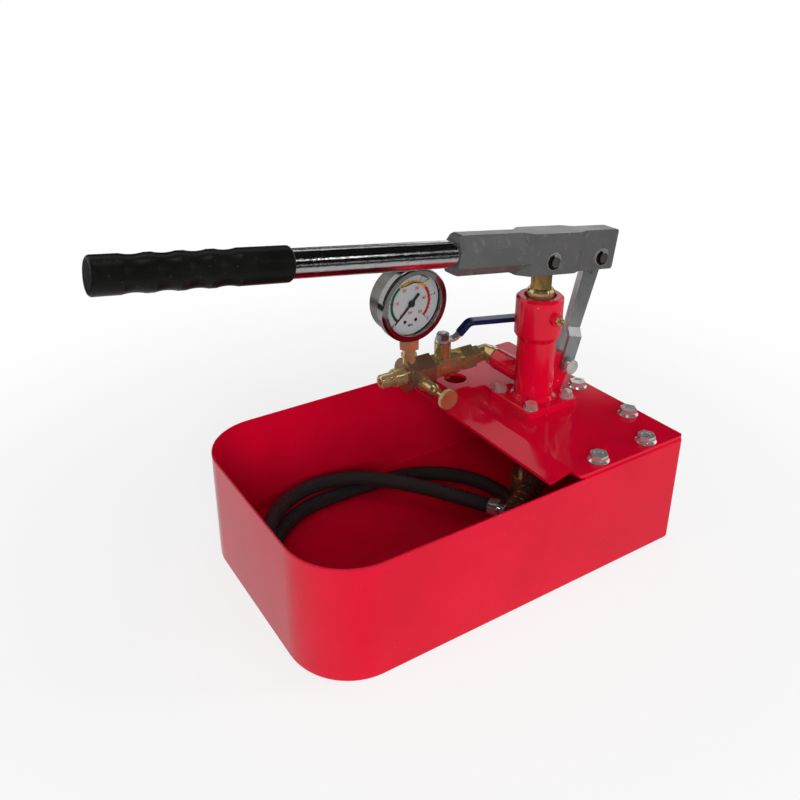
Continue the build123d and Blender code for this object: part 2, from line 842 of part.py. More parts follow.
def make_strainer():
    """Perforated cup around the pipe's foot."""
    top = strainer_foot_gap + strainer_height
    cup = rod_z(pump_x, 0, strainer_foot_gap, top, strainer_radius)
    inner = strainer_radius - strainer_wall
    hollow = rod_z(pump_x, 0, strainer_foot_gap + strainer_wall, top - strainer_wall, inner)
    cup = cup - hollow - rod_z(pump_x, 0, top - strainer_wall, top, suction_pipe_radius)
    turn = 360 / strainer_hole_count
    for row in range(strainer_rows):
        z = strainer_foot_gap + strainer_first_row + row * strainer_row_pitch
        for step in range(strainer_hole_count // 2):
            drill = Rot(0, 90, 0) * Cylinder(strainer_hole_radius, strainer_radius * 3)
            cup = cup - Pos(pump_x, 0, z) * Rot(0, 0, step * turn) * drill
    return cup


def make_outlet_ball():
    """Outlet ball on its seat in the side port."""
    lift = math.sqrt(outlet_ball_radius**2 - port_bore_radius**2)
    return Pos(pump_x, port_seat_y + lift + ball_rest_gap, port_z) * Sphere(outlet_ball_radius)


def make_piston_rod():
    """Brass rod with a slotted cross eye at its top."""
    low = piston_pin_z - rod_below_pin
    rod = rod_z(pump_x, 0, low, piston_pin_z, rod_radius)
    eye_x = pump_x + rod_eye_offset
    eye = rod_y(eye_x, piston_pin_z, -rod_eye_half_width, rod_eye_half_width, rod_eye_radius)
    rod = rod + eye + rod_z(pump_x, 0, low - piston_height, low, piston_spigot_radius)
    slot_width = 2 * (pin_radius + eye_slot_rise)
    slot_face = Plane.XZ * SlotCenterToCenter(2 * eye_slot_reach, slot_width)
    slot = Pos(eye_x, 0, piston_pin_z) * extrude(slot_face, rod_radius * 2, both=True)
    return rod - slot


def piston_seal_z():
    """Middle of the seal groove."""
    return piston_pin_z - rod_below_pin - piston_height / 2


def make_piston():
    """Brass piston with one seal groove."""
    top = piston_pin_z - rod_below_pin
    radius = piston_bore_radius - piston_running_gap
    piston = rod_z(pump_x, 0, top - piston_height, top, radius)
    ring_radius = piston_bore_radius - seal_squeeze_gap - seal_section_radius
    groove = Pos(pump_x, 0, piston_seal_z()) * Torus(ring_radius, seal_section_radius)
    mouth_inner = rod_z(pump_x, 0, top - piston_height, top, ring_radius)
    mouth = rod_z(
        pump_x,
        0,
        piston_seal_z() - seal_section_radius,
        piston_seal_z() + seal_section_radius,
        piston_bore_radius,
    )
    piston = piston - groove - (mouth - mouth_inner)
    return piston - rod_z(pump_x, 0, top - piston_height, top, piston_spigot_radius)


def make_piston_seal():
    """Round seal ring in the piston groove."""
    ring_radius = piston_bore_radius - seal_squeeze_gap - seal_section_radius
    return Pos(pump_x, 0, piston_seal_z()) * Torus(ring_radius, seal_section_radius)


def head_plan():
    """Plan of the fork block and the lobe, seen from above."""
    upper = [
        (-block_nose, nose_half_width),
        (-block_left, block_half_width),
        (block_right, block_half_width),
        (lobe_left, lobe_half_width),
        (lobe_right, lobe_half_width),
    ]
    lower = [(x, -y) for x, y in reversed(upper)]
    return make_face(Polyline(*upper, *lower, close=True))


def socket_section():
    """Octagonal section of the tube socket, about the tube's axis."""
    half = [
        (socket_flat_half_width, socket_top),
        (block_half_width, socket_shoulder),
        (block_half_width, -socket_skirt),
        (socket_flat_half_width, -socket_bottom),
    ]
    mirrored = [(-y, z) for y, z in reversed(half)]
    return make_face(Polyline(*half, *mirrored, close=True))


def nose_outline(slant, z):
    """Outline of the sloping nose at one height, set forward by a slant."""
    upper = [(-block_nose - slant, nose_half_width), (-block_left - slant, block_half_width), (0, block_half_width)]
    lower = [(x, -y) for x, y in reversed(upper)]
    return Pos(0, 0, z) * make_face(Polyline(*upper, *lower, close=True))


def make_socket():
    """Octagonal tube socket with a narrowed mouth."""
    body_x = socket_mouth_length - socket_end
    section = Plane(origin=(body_x, 0, tube_above_pin), x_dir=(0, 1, 0), z_dir=(1, 0, 0))
    socket = extrude(section * socket_section(), -body_x - block_left + tube_wall)
    mouth = Plane(origin=(body_x, 0, tube_above_pin), x_dir=(0, -1, 0), z_dir=(-1, 0, 0))
    taper = math.degrees(math.atan(socket_mouth_inset / socket_mouth_length))
    return socket + extrude(mouth * socket_section(), socket_mouth_length, taper=taper)


def make_lever_head():
    """Aluminium casting in the lever's own frame, then set in place."""
    block = Pos(0, 0, -head_below_pin) * extrude(head_plan(), head_below_pin + head_above_pin)
    corner = block.edges().filter_by(Axis.Y).group_by(Axis.X)[-1]
    block = fillet(corner, lobe_corner_radius)
    shoulder_z = tube_above_pin + socket_shoulder
    nose = loft([nose_outline(nose_slant, shoulder_z), nose_outline(0, head_above_pin)], ruled=True)
    head = block + make_socket() + nose
    head = head - rod_x(0, tube_above_pin, -socket_end, socket_depth - socket_end, tube_radius + tube_fit_gap)
    head = head - slab(-fork_left, fork_right, -fork_half_width, fork_half_width, -head_above_pin, fork_roof)
    end_x = lobe_right + lobe_corner_radius
    slot_half = link_slot_half_width
    head = head - slab(link_slot_left, end_x, -slot_half, slot_half, -head_above_pin, link_slot_roof)
    for x in (0, lever_arm):
        head = head - rod_y(x, 0, -block_half_width, block_half_width, pin_radius)
    return lever_place * head


def make_lever_tube():
    """Chromed tube from the socket to inside the grip."""
    inner = socket_end - socket_depth
    tube = rod_x(0, tube_above_pin, -tube_outer_end, -inner, tube_radius)
    tube = tube - rod_x(0, tube_above_pin, -tube_outer_end, -inner, tube_radius - tube_wall)
    return lever_place * tube


def make_grip():
    """Rubber sleeve with finger valleys and a closed end."""
    end = tube_outer_end + grip_end_wall
    grip = rod_x(0, tube_above_pin, -end, -end + grip_length, grip_radius)
    grip = fillet(grip.edges().group_by(Axis.X)[0], grip_end_radius)
    grip = fillet(grip.edges().group_by(Axis.X)[-1], grip_end_radius)
    chord = grip_valley_half_length
    depth = grip_valley_depth
    arc_radius = (chord**2 + depth**2) / (2 * depth)
    ring = grip_radius - depth + arc_radius
    for step in range(grip_valley_count):
        x = -end + grip_first_valley + step * grip_valley_pitch
        valley = Pos(x, 0, tube_above_pin) * Rot(0, 90, 0) * Torus(ring, arc_radius)
        grip = grip - valley
    hollow = rod_x(0, tube_above_pin, -tube_outer_end, -end + grip_length, tube_radius)
    return lever_place * (grip - hollow)


def cross_pin(x, groove_face):
    """Pin across the lever head with a clip groove at each end."""
    end = groove_face + clip_thickness + pin_end_length
    pin = rod_y(x, 0, -end, end, pin_radius)
    for side in (-1, 1):
        low, high = sorted((side * groove_face, side * (groove_face + clip_thickness)))
        ring = rod_y(x, 0, low, high, pin_radius) - rod_y(x, 0, low, high, pin_radius - clip_groove_depth)
        pin = pin - ring
    return pin


def piston_clip_face():
    """Distance from the lever's middle to the piston pin's clips."""
    return block_half_width + piston_washer_thickness + clip_stand_off


def link_clip_face():
    """Distance from the lever's middle to the link pin's clips."""
    return lobe_half_width + link_washer_thickness + clip_stand_off


def make_piston_pin():
    """Pin that drives the piston rod."""
    return lever_place * cross_pin(0, piston_clip_face())


def make_link_pin():
    """Pin that hangs the lever on the links."""
    return lever_place * cross_pin(lever_arm, link_clip_face())


def make_pin_washers():
    """Four washers below the clips."""
    washers = []
    for x, face, thickness in (
        (0, block_half_width, piston_washer_thickness),
        (lever_arm, lobe_half_width, link_washer_thickness),
    ):
        for side in (-1, 1):
            low, high = sorted((side * face, side * (face + thickness)))
            ring = rod_y(x, 0, low, high, washer_radius) - rod_y(x, 0, low, high, pin_radius)
            washers.append(lever_place * ring)
    return bundle(washers)


def make_pin_clips():
    """Four open spring clips on the two pins."""
    clips = []
    for x, face in ((0, piston_clip_face()), (lever_arm, link_clip_face())):
        for side in (-1, 1):
            low, high = sorted((side * face, side * (face + clip_thickness)))
            core = pin_radius - clip_groove_depth
            clips.append(lever_place * spring_clip(x, 0, low, high, core, clip_radius))
    return bundle(clips)


def link_strip(side):
    """Flat strip, joggled outward to pass the lug, on one side of the lever."""
    top_in = strip_mid_gap
    top_out = strip_mid_gap + strip_thickness
    foot_in = lug_half_thickness + strip_foot_gap
    foot_out = foot_in + strip_thickness
    low = -strip_foot_radius
    high = link_length + strip_top_radius
    sheet_points = [
        (side * foot_in, low),
        (side * foot_out, low),
        (side * foot_out, strip_bend_foot),
        (side * top_out, strip_bend_top),
        (side * top_out, high),
        (side * top_in, high),
        (side * top_in, strip_bend_top),
        (side * foot_in, strip_bend_foot),
    ]
    sheet = extrude(Plane.YZ * make_face(Polyline(*sheet_points, close=True)), strip_top_radius, both=True)
    outline_points = [
        (-strip_foot_radius, 0),
        (-strip_waist_half_width, strip_bend_top),
        (-strip_top_radius, link_length),
        (strip_top_radius, link_length),
        (strip_waist_half_width, strip_bend_top),
        (strip_foot_radius, 0),
    ]
    outline = make_face(Polyline(*outline_points, close=True))
    outline = outline + Circle(strip_foot_radius) + Pos(0, link_length) * Circle(strip_top_radius)
    outline = outline - Circle(fulcrum_pin_radius + pin_running_gap)
    outline = outline - Pos(0, link_length) * Circle(pin_radius + pin_running_gap)
    outline = outline - Pos(0, link_length - strip_hole_from_top) * Circle(strip_hole_radius)
    prism = extrude(Plane.XZ * outline, foot_out + strip_thickness, both=True)
    return link_place * (sheet & prism)


def make_seal_ring():
    """Black seal ring between the side port and the elbow."""
    ring = rod_y(pump_x, port_z, port_end_y, port_end_y + seal_ring_thickness, seal_ring_radius)
    return ring - rod_y(pump_x, port_z, port_end_y, port_end_y + seal_ring_thickness, elbow_spigot_radius)


def make_elbow():
    """Brass elbow from the side port round to the valve line."""
    face = port_end_y + seal_ring_thickness
    body = rod_y(pump_x, port_z, port_end_y - elbow_spigot_length, face, elbow_spigot_radius)
    body = body + rod_y(pump_x, port_z, face, face + elbow_collar_length, elbow_collar_radius)
    body = body + rod_y(pump_x, port_z, face, valve_y, elbow_radius)
    body = body + Pos(pump_x, valve_y, port_z) * Sphere(elbow_radius)
    body = body + rod_x(valve_y, port_z, elbow_end_x, pump_x, elbow_radius)
    body = body + hex_x(valve_y, port_z, elbow_end_x, elbow_end_x + elbow_hex_length, elbow_hex_flats)
    body = body + rod_x(valve_y, port_z, barrel_end_x, elbow_end_x, union_tail_radius)
    flange_end = barrel_end_x + union_flange_length
    body = body + rod_x(valve_y, port_z, barrel_end_x, flange_end, union_flange_radius)
    body = body - rod_y(pump_x, port_z, port_end_y - elbow_spigot_length, valve_y, elbow_bore)
    return body - rod_x(valve_y, port_z, barrel_end_x, pump_x, elbow_bore)


def make_union_nut():
    """Brass union nut that joins the elbow to the ball valve."""
    nut = hex_x(valve_y, port_z, union_left, union_right, union_flats)
    thread = union_thread_radius + union_thread_gap
    nut = nut - rod_x(valve_y, port_z, union_left, union_right - union_back_wall, thread)
    return nut - rod_x(valve_y, port_z, union_left, union_right, union_tail_radius + union_thread_gap)


def make_valve_barrel():
    """Brass ball valve barrel with a stem boss and a threaded end."""
    barrel = rod_x(valve_y, port_z, valve_barrel_left, valve_barrel_right, valve_barrel_radius)
    barrel = barrel + rod_x(valve_y, port_z, valve_rib_x, valve_rib_x + valve_rib_length, valve_rib_radius)
    barrel = barrel + rod_x(valve_y, port_z, valve_barrel_right, barrel_end_x, union_thread_radius)
    barrel = barrel + rod_z(ball_valve_x, valve_y, port_z, stem_boss_top, stem_boss_radius)
    cavity_right = ball_valve_x + ball_valve_x - valve_barrel_left - insert_spigot_length
    barrel = barrel - rod_x(valve_y, port_z, valve_barrel_left, cavity_right, valve_cavity_radius)
    barrel = barrel - rod_x(valve_y, port_z, valve_barrel_left, barrel_end_x, ball_bore)
    return barrel - rod_z(ball_valve_x, valve_y, port_z, stem_boss_top, stem_radius + ball_gap)


def make_valve_insert():
    """Hexagon end insert, screwed into the barrel and into the manifold."""
    spigot_end = valve_barrel_left + insert_spigot_length
    insert = hex_x(valve_y, port_z, insert_left, valve_barrel_left, insert_flats)
    insert = insert + rod_x(valve_y, port_z, valve_barrel_left, spigot_end, valve_cavity_radius)
    thread_end = insert_left - valve_thread_length
    insert = insert + rod_x(valve_y, port_z, thread_end, insert_left, valve_thread_radius)
    return insert - rod_x(valve_y, port_z, thread_end, spigot_end, ball_bore)


def make_valve_seats():
    """Two coned seat rings, one each side of the ball."""
    back = ball_valve_x - valve_barrel_left - insert_spigot_length
    front = back - seat_length
    cone_reach = ball_radius * math.sqrt(2) + ball_gap
    section = [
        (back, seat_inner_radius),
        (back, valve_cavity_radius),
        (front, valve_cavity_radius),
        (front, cone_reach - front),
        (cone_reach - seat_inner_radius, seat_inner_radius),
    ]
    ring = revolve(make_face(Polyline(*section, close=True)), Axis.X)
    middle = Pos(ball_valve_x, valve_y, port_z)
    return bundle([middle * ring, middle * Rot(0, 0, 180) * ring])


def make_valve_ball():
    """Bored ball with a slot for the stem."""
    ball = Pos(0, 0, port_z) * Sphere(ball_radius)
    ball = ball - rod_x(0, port_z, -ball_radius, ball_radius, ball_bore)
    slot_half_width = stem_tang_half_width + ball_slot_gap
    slot_low = port_z + ball_radius - stem_tang_depth - ball_slot_gap
    slot = slab(
        -ball_radius,
        ball_radius,
        -slot_half_width,
        slot_half_width,
        slot_low,
        port_z + ball_radius,
    )
    return stem_place * (ball - slot)


def make_valve_stem():
    """Stem from the ball's slot up through the handle and nut."""
    ball_top = port_z + ball_radius
    tang = slab(
        -stem_tang_half_length,
        stem_tang_half_length,
        -stem_tang_half_width,
        stem_tang_half_width,
        ball_top - stem_tang_depth,
        ball_top + ball_slot_gap,
    )
    tang = tang & rod_z(0, 0, port_z, stem_top, stem_radius)
    return stem_place * (tang + rod_z(0, 0, ball_top + ball_slot_gap, stem_top, stem_radius))


def handle_side(start_share, wall):
    """Side face of the bent handle strip, grown by a wall, from a share of the slope."""
    middle = stem_boss_top + handle_washer_height + handle_thickness / 2
    slope = math.atan2(handle_bend_rise, handle_bend_run)
    half = handle_thickness / 2 + wall
    shift = half * math.tan(slope / 2)
    knee_x = handle_bend_start
    top_x = knee_x + handle_bend_run
    top_z = middle + handle_bend_rise
    start_x = knee_x + start_share * handle_bend_run
    start_z = middle + start_share * handle_bend_rise
    upper = [(start_x - half * math.sin(slope), start_z + half * math.cos(slope))]
    lower = [(start_x + half * math.sin(slope), start_z - half * math.cos(slope))]
    if start_share == 0:
        upper = [(0, middle + half), (knee_x - shift, middle + half)]
        lower = [(0, middle - half), (knee_x + shift, middle - half)]
    upper = upper + [(top_x - shift, top_z + half), (handle_reach + wall, top_z + half)]
    lower = lower + [(top_x + shift, top_z - half), (handle_reach + wall, top_z - half)]
    face = make_face(Polyline(*upper, *reversed(lower), close=True))
    inner = handle_bend_radius - half
    outer = handle_bend_radius + half
    bends = [(upper[-2], outer), (lower[-2], inner)]
    if start_share == 0:
        bends = bends + [(upper[1], inner), (lower[1], outer)]
    for point, radius in bends:
        face = fillet(face.vertices().sort_by_distance(point)[0], radius)
    return Plane.XZ * face


def handle_strip():
    """Bent flat strip of the handle, along X from the stem."""
    return extrude(handle_side(0, 0), handle_half_width, both=True)


def make_valve_handle():
    """Steel strip handle with an eye around the stem."""
    low = stem_boss_top + handle_washer_height
    strip = handle_strip() + rod_z(0, 0, low, low + handle_thickness, handle_eye_radius)
    spacer = rod_z(0, 0, stem_boss_top + stem_spacer_gap, low, handle_eye_radius - stem_nut_inset)
    return handle_place * (strip + spacer - rod_z(0, 0, stem_boss_top, stem_top, stem_radius))


def make_handle_sleeve():
    """Vinyl sleeve dipped over the handle strip, rounded along its edges."""
    half = handle_half_width + sleeve_wall
    sleeve = extrude(handle_side(sleeve_start_share, sleeve_wall), half, both=True)
    side_edges = [edge for edge in sleeve.edges() if abs(edge.center().Y) > handle_half_width]
    side_edges.sort(key=lambda edge: edge.center().X)
    sleeve = fillet(side_edges[2:], sleeve_round)
    return handle_place * (sleeve - handle_strip())


def make_stem_nut():
    """Nut that holds the handle on the stem, chamfered on top."""
    low = stem_boss_top + handle_washer_height + handle_thickness
    nut = hex_z(0, 0, low, low + stem_nut_height, stem_nut_flats)
    nut = chamfer(nut.edges().group_by(Axis.Z)[-1], stem_nut_chamfer)
    return handle_place * (nut - rod_z(0, 0, low, low + stem_nut_height, stem_radius))


def make_manifold():
    """Hexagonal brass bar with a round end, drilled for the line, the gauge and the bleed valve."""
    collar_end = manifold_left + manifold_collar_length
    bar = hex_x(valve_y, port_z, manifold_left, insert_left, manifold_flats)
    collar = rod_x(valve_y, port_z, manifold_left, collar_end, manifold_collar_radius)
    bar = bar + chamfer(collar.edges().filter_by(GeomType.CIRCLE), manifold_chamfer)
    seat_high = port_z + manifold_collar_radius
    bar = bar - rod_z(cross_x, valve_y, manifold_top, seat_high, gauge_stem_waist_radius)
    bar = bar - rod_x(valve_y, port_z, manifold_left, insert_left, manifold_bore)
    thread_end = insert_left - valve_thread_length
    bar = bar - rod_x(valve_y, port_z, thread_end, insert_left, valve_thread_radius)
    bar = bar - rod_z(cross_x, valve_y, port_z, manifold_top, gauge_stem_bore)
    thread_low = manifold_top - small_thread_length
    bar = bar - rod_z(cross_x, valve_y, thread_low, manifold_top, small_thread_radius)
    near = manifold_near_y
    bleed_z = port_z - bleed_drop
    bar = bar - rod_y(bleed_x, bleed_z, near, valve_y, bleed_vent_radius)
    return bar - rod_y(bleed_x, bleed_z, near, near + small_thread_length, small_thread_radius)


def make_outlet_nipple():
    """Stepped brass nipple with a threaded, bored tip."""
    taper_x = manifold_left - nipple_collar_length
    body_x = taper_x - nipple_taper_length
    tip_x = body_x - outlet_thread_length
    nipple = rod_x(valve_y, port_z, taper_x, manifold_left, nipple_collar_radius)
    nipple = nipple + rod_x(valve_y, port_z, body_x, taper_x, nipple_body_radius)
    thread = rod_x(valve_y, port_z, tip_x, body_x, outlet_thread_radius)
    thread = chamfer(thread.edges().group_by(Axis.X)[0], outlet_tip_chamfer)
    turns = int(outlet_thread_length / outlet_thread_pitch) - 1
    for turn in range(turns):
        x = tip_x + outlet_tip_chamfer + (turn + 1) * outlet_thread_pitch
        groove = Pos(x, valve_y, port_z) * Rot(0, 90, 0) * Torus(outlet_thread_radius, outlet_thread_depth)
        thread = thread - groove
    nipple = nipple + thread
    nipple = nipple - rod_x(valve_y, port_z, tip_x, manifold_left, outlet_bore)
    return nipple


def bleed_faces():
    """Y of the bleed valve's faces, from the block outward."""
    hex_y_end = manifold_near_y - bleed_hex_length
    body_y_end = hex_y_end - bleed_body_length
    cone_y_end = body_y_end - bleed_cone_length
    return hex_y_end, body_y_end, cone_y_end, cone_y_end - bleed_neck_length


def make_bleed_body():
    """Bleed valve body with a hexagon, a barrel and a coned nose."""
    z = port_z - bleed_drop
    hex_end, body_end, cone_end, neck_end = bleed_faces()
    thread_y = manifold_near_y + small_thread_length
    body = hex_y(bleed_x, z, hex_end, manifold_near_y, bleed_hex_flats)
    body = body + rod_y(bleed_x, z, body_end, hex_end, bleed_body_radius)
    cone = Pos(bleed_x, body_end, z) * Rot(90, 0, 0) * Cone(
        bleed_body_radius,
        bleed_neck_radius,
        bleed_cone_length,
        align=(Align.CENTER, Align.CENTER, Align.MIN),
    )
    body = body + cone + rod_y(bleed_x, z, neck_end, cone_end, bleed_neck_radius)
    body = body + rod_y(bleed_x, z, manifold_near_y, thread_y, small_thread_radius)
    body = body - rod_y(bleed_x, z, neck_end, thread_y, bleed_stem_radius + bleed_stem_gap)
    vent_y = body_end + bleed_body_radius
    return body - rod_z(bleed_x, vent_y, z - manifold_flats, z, bleed_vent_radius)


def make_bleed_stem():
    """Bleed screw, pointed at its inner end."""
    z = port_z - bleed_drop
    inner = manifold_near_y + small_thread_length
    cone_length = bleed_stem_radius
    stem = rod_y(bleed_x, z, bleed_stem_end, inner - cone_length, bleed_stem_radius)
    point = Pos(bleed_x, inner - cone_length, z) * Rot(-90, 0, 0) * Cone(
        bleed_stem_radius,
        bleed_stem_radius / 2,
        cone_length,
        align=(Align.CENTER, Align.CENTER, Align.MIN),
    )
    return stem + point


def make_bleed_knob():
    """Knurled brass knob on the bleed screw."""
    z = port_z - bleed_drop
    back = bleed_stem_end
    front = back - knob_thickness
    knob = rod_y(bleed_x, z, front, back, knob_radius)
    knob = chamfer(knob.edges(), knob_edge_chamfer)
    for step in range(knob_notch_count):
        angle = 2 * math.pi * step / knob_notch_count
        x = bleed_x + knob_radius * math.cos(angle)
        notch_z = z + knob_radius * math.sin(angle)
        knob = knob - rod_y(x, notch_z, front, back, knob_notch_radius)
    hub = rod_y(bleed_x, z, back, back + knob_hub_length, knob_hub_radius)
    hub = hub - rod_y(bleed_x, z, back, back + knob_hub_length, bleed_stem_radius)
    return knob + hub


def make_gauge_stem():
    """Brass gauge stem: thread, shank, round rim, hexagon and neck."""
    foot_high = manifold_top + gauge_stem_foot
    hex_high = foot_high + gauge_hex_height
    neck_high = gauge_z - case_radius + case_wall
    stem = rod_z(cross_x, valve_y, manifold_top - small_thread_length, manifold_top, small_thread_radius)
    rim_low = manifold_top + gauge_stem_shank
    stem = stem + rod_z(cross_x, valve_y, manifold_top, foot_high, gauge_stem_waist_radius)
    stem = stem + rod_z(cross_x, valve_y, rim_low, rim_low + gauge_stem_rim, gauge_stem_radius)
    stem = stem + hex_z(cross_x, valve_y, foot_high, hex_high, gauge_hex_flats)
    stem = stem + rod_z(cross_x, valve_y, hex_high, neck_high, gauge_neck_radius)
    bezel_back = gauge_front_y + bezel_depth + gauge_neck_gap
    stem = stem - rod_y(cross_x, gauge_z, gauge_front_y, bezel_back, bezel_radius + gauge_neck_gap)
    return stem - rod_z(cross_x, valve_y, manifold_top - small_thread_length, neck_high, gauge_stem_bore)


def make_gauge_case():
    """Stainless cup with a rounded back edge."""
    front = gauge_front_y + bezel_front_lip + lens_thickness
    back = gauge_front_y + gauge_depth
    case = rod_y(cross_x, gauge_z, front, back, case_radius)
    case = fillet(case.edges().group_by(Axis.Y)[-1], case_edge_radius)
    case = case - rod_y(cross_x, gauge_z, front, back - case_wall, case_radius - case_wall)
    return case - rod_z(cross_x, valve_y, gauge_z - case_radius, gauge_z, gauge_neck_radius)


def make_gauge_bezel():
    """Stainless bezel ring with a rounded rim."""
    back = gauge_front_y + bezel_depth
    ring = rod_y(cross_x, gauge_z, gauge_front_y, back, bezel_radius)
    ring = fillet(ring.edges().group_by(Axis.Y)[0], bezel_edge_radius)
    ring = ring - rod_y(cross_x, gauge_z, gauge_front_y, back, bezel_window_radius)
    inner = gauge_front_y + bezel_front_lip
    return ring - rod_y(cross_x, gauge_z, inner, back, case_radius)


def make_gauge_lens():
    """Clear flat lens behind the bezel's lip."""
    low = gauge_front_y + bezel_front_lip
    return rod_y(cross_x, gauge_z, low, low + lens_thickness, case_radius)


def dial_face_y():
    """Front face of the dial."""
    return gauge_front_y + bezel_front_lip + lens_thickness + dial_behind_lens


def make_gauge_dial():
    """White dial disc with a hole for the pointer shaft."""
    y = dial_face_y()
    dial = rod_y(cross_x, gauge_z, y, y + dial_thickness, dial_radius)
    return dial - rod_y(cross_x, gauge_z, y, y + dial_thickness, pointer_shaft_radius + gauge_shaft_gap)


def make_gauge_pointer():
    """Pointer with a tail, hub and shaft, at its zero mark."""
    back = dial_face_y() - pointer_above_dial
    front = back - pointer_thickness
    blade_points = [
        (0, pointer_tail_half_width),
        (pointer_length, pointer_half_width / 3),
        (pointer_length, -pointer_half_width / 3),
        (0, -pointer_tail_half_width),
        (-pointer_tail, -pointer_tail_half_width),
        (-pointer_tail, pointer_tail_half_width),
    ]
    blade = extrude(make_face(Polyline(*blade_points, close=True)), pointer_thickness)
    blade = Pos(cross_x, back, gauge_z) * Rot(90, 0, 0) * Rot(0, 0, pointer_rest_angle) * blade
    hub = rod_y(cross_x, gauge_z, back - pointer_hub_length, back, pointer_hub_radius)
    shaft = rod_y(cross_x, gauge_z, front, front + pointer_shaft_length, pointer_shaft_radius)
    return blade + hub + shaft


def make_gauge_movement():
    """Movement block behind the dial, bored for the pointer shaft."""
    low = dial_face_y() + dial_thickness + movement_behind_dial
    high = low + movement_depth
    left = cross_x - movement_half_width
    right = cross_x + movement_half_width
    bottom = gauge_z - movement_half_height
    top = gauge_z + movement_half_height
    block = slab(left, right, low, high, bottom, top)
    post_low = gauge_z - case_radius + case_wall + case_wall
    post = slab(cross_x - gauge_neck_radius / 2, cross_x + gauge_neck_radius / 2, low, high, post_low, bottom)
    block = block + post
    return block - rod_y(cross_x, gauge_z, low, high, pointer_shaft_radius + gauge_shaft_gap)


def make_pressure_tube():
    """Curved flat pressure tube around the movement, open at the bottom right."""
    middle = dial_face_y() + dial_thickness + movement_behind_dial + pressure_tube_half_depth
    low = middle - pressure_tube_half_depth
    high = middle + pressure_tube_half_depth
    outer = pressure_tube_radius + pressure_tube_half_width
    inner = pressure_tube_radius - pressure_tube_half_width
    ring = rod_y(cross_x, gauge_z, low, high, outer) - rod_y(cross_x, gauge_z, low, high, inner)
    gap_left = cross_x - gauge_neck_radius / 2
    gap = slab(gap_left, gap_left + outer, low, high, gauge_z - outer, gauge_z)
    return ring - gap


def hose_runs():
    """Lengths of the straight runs between the hose's corner points."""
    points = [Vector(*point) for point in hose_points]
    return [(after - before).length for before, after in zip(points, points[1:])]


def hose_radii():
    """Bend radius at each inner corner, from its shorter run and its turn."""
    points = [Vector(*point) for point in hose_points]
    runs = hose_runs()
    radii = []
    for index in range(1, len(points) - 1):
        before = points[index] - points[index - 1]
        after = points[index + 1] - points[index]
        turn = math.radians(before.get_angle(after))
        radii.append(bend_share * min(runs[index - 1], runs[index]) / math.tan(turn / 2))
    return radii


def hose_line():
    """Centre line of the hose: straight runs joined by tangent arcs."""
    return FilletPolyline(*hose_points, radius=hose_radii())


def make_hose_tube():
    """Braided hose as one hollow tube."""
    line = hose_line()
    start = Plane(origin=line @ 0, z_dir=line % 0)
    return sweep(start * (Circle(hose_radius) - Circle(hose_bore)), path=line)


def hose_end_places():
    """Frames at the hose's ends, Z pointing out of the hose."""
    line = hose_line()
    first = Plane(origin=line @ 0, z_dir=-(line % 0))
    last = Plane(origin=line @ 1, z_dir=line % 1)
    return first.location, last.location


def upright(low, high, radius):
    """Round bar along the fitting's own axis."""
    return rod_z(0, 0, low, high, radius)


def make_ferrule(place, cover, nose, rings):
    """Crimped ferrule over the hose's end with raised rings, the first at its nose."""
    ferrule = upright(-cover, nose, ferrule_radius)
    for step in range(rings):
        high = nose - step * ferrule_ring_pitch
        ferrule = ferrule + upright(high - ferrule_ring_length, high, ferrule_ring_radius)
    ferrule = ferrule - upright(-cover, 0, hose_radius)
    return place * (ferrule - upright(0, nose, tail_radius))


def make_tail(place, cover):
    """Tail that goes into the hose and carries the swivel nut."""
    tail = upright(-cover, 0, hose_bore) + upright(0, tail_length, tail_radius)
    flange_high = tail_length - tail_flange_setback
    tail = tail + upright(flange_high - tail_flange_length, flange_high, tail_flange_radius)
    return place * (tail - upright(-cover, tail_length, tail_bore))


def make_swivel_nut(place):
    """Hexagon nut that turns freely on the tail."""
    flange_low = tail_length - tail_flange_setback - tail_flange_length
    low = flange_low - nut_back_wall - nut_running_gap
    nut = hex_z(0, 0, low, low + nut_length, nut_flats)
    bevel = upright(low, low + nut_length, nut_flats / 2 + nut_hex_chamfer)
    nut = nut & bevel
    nut = nut - upright(low, low + nut_length, tail_radius + nut_running_gap)
    return place * (nut - upright(low + nut_back_wall, low + nut_length, nut_bore_radius))


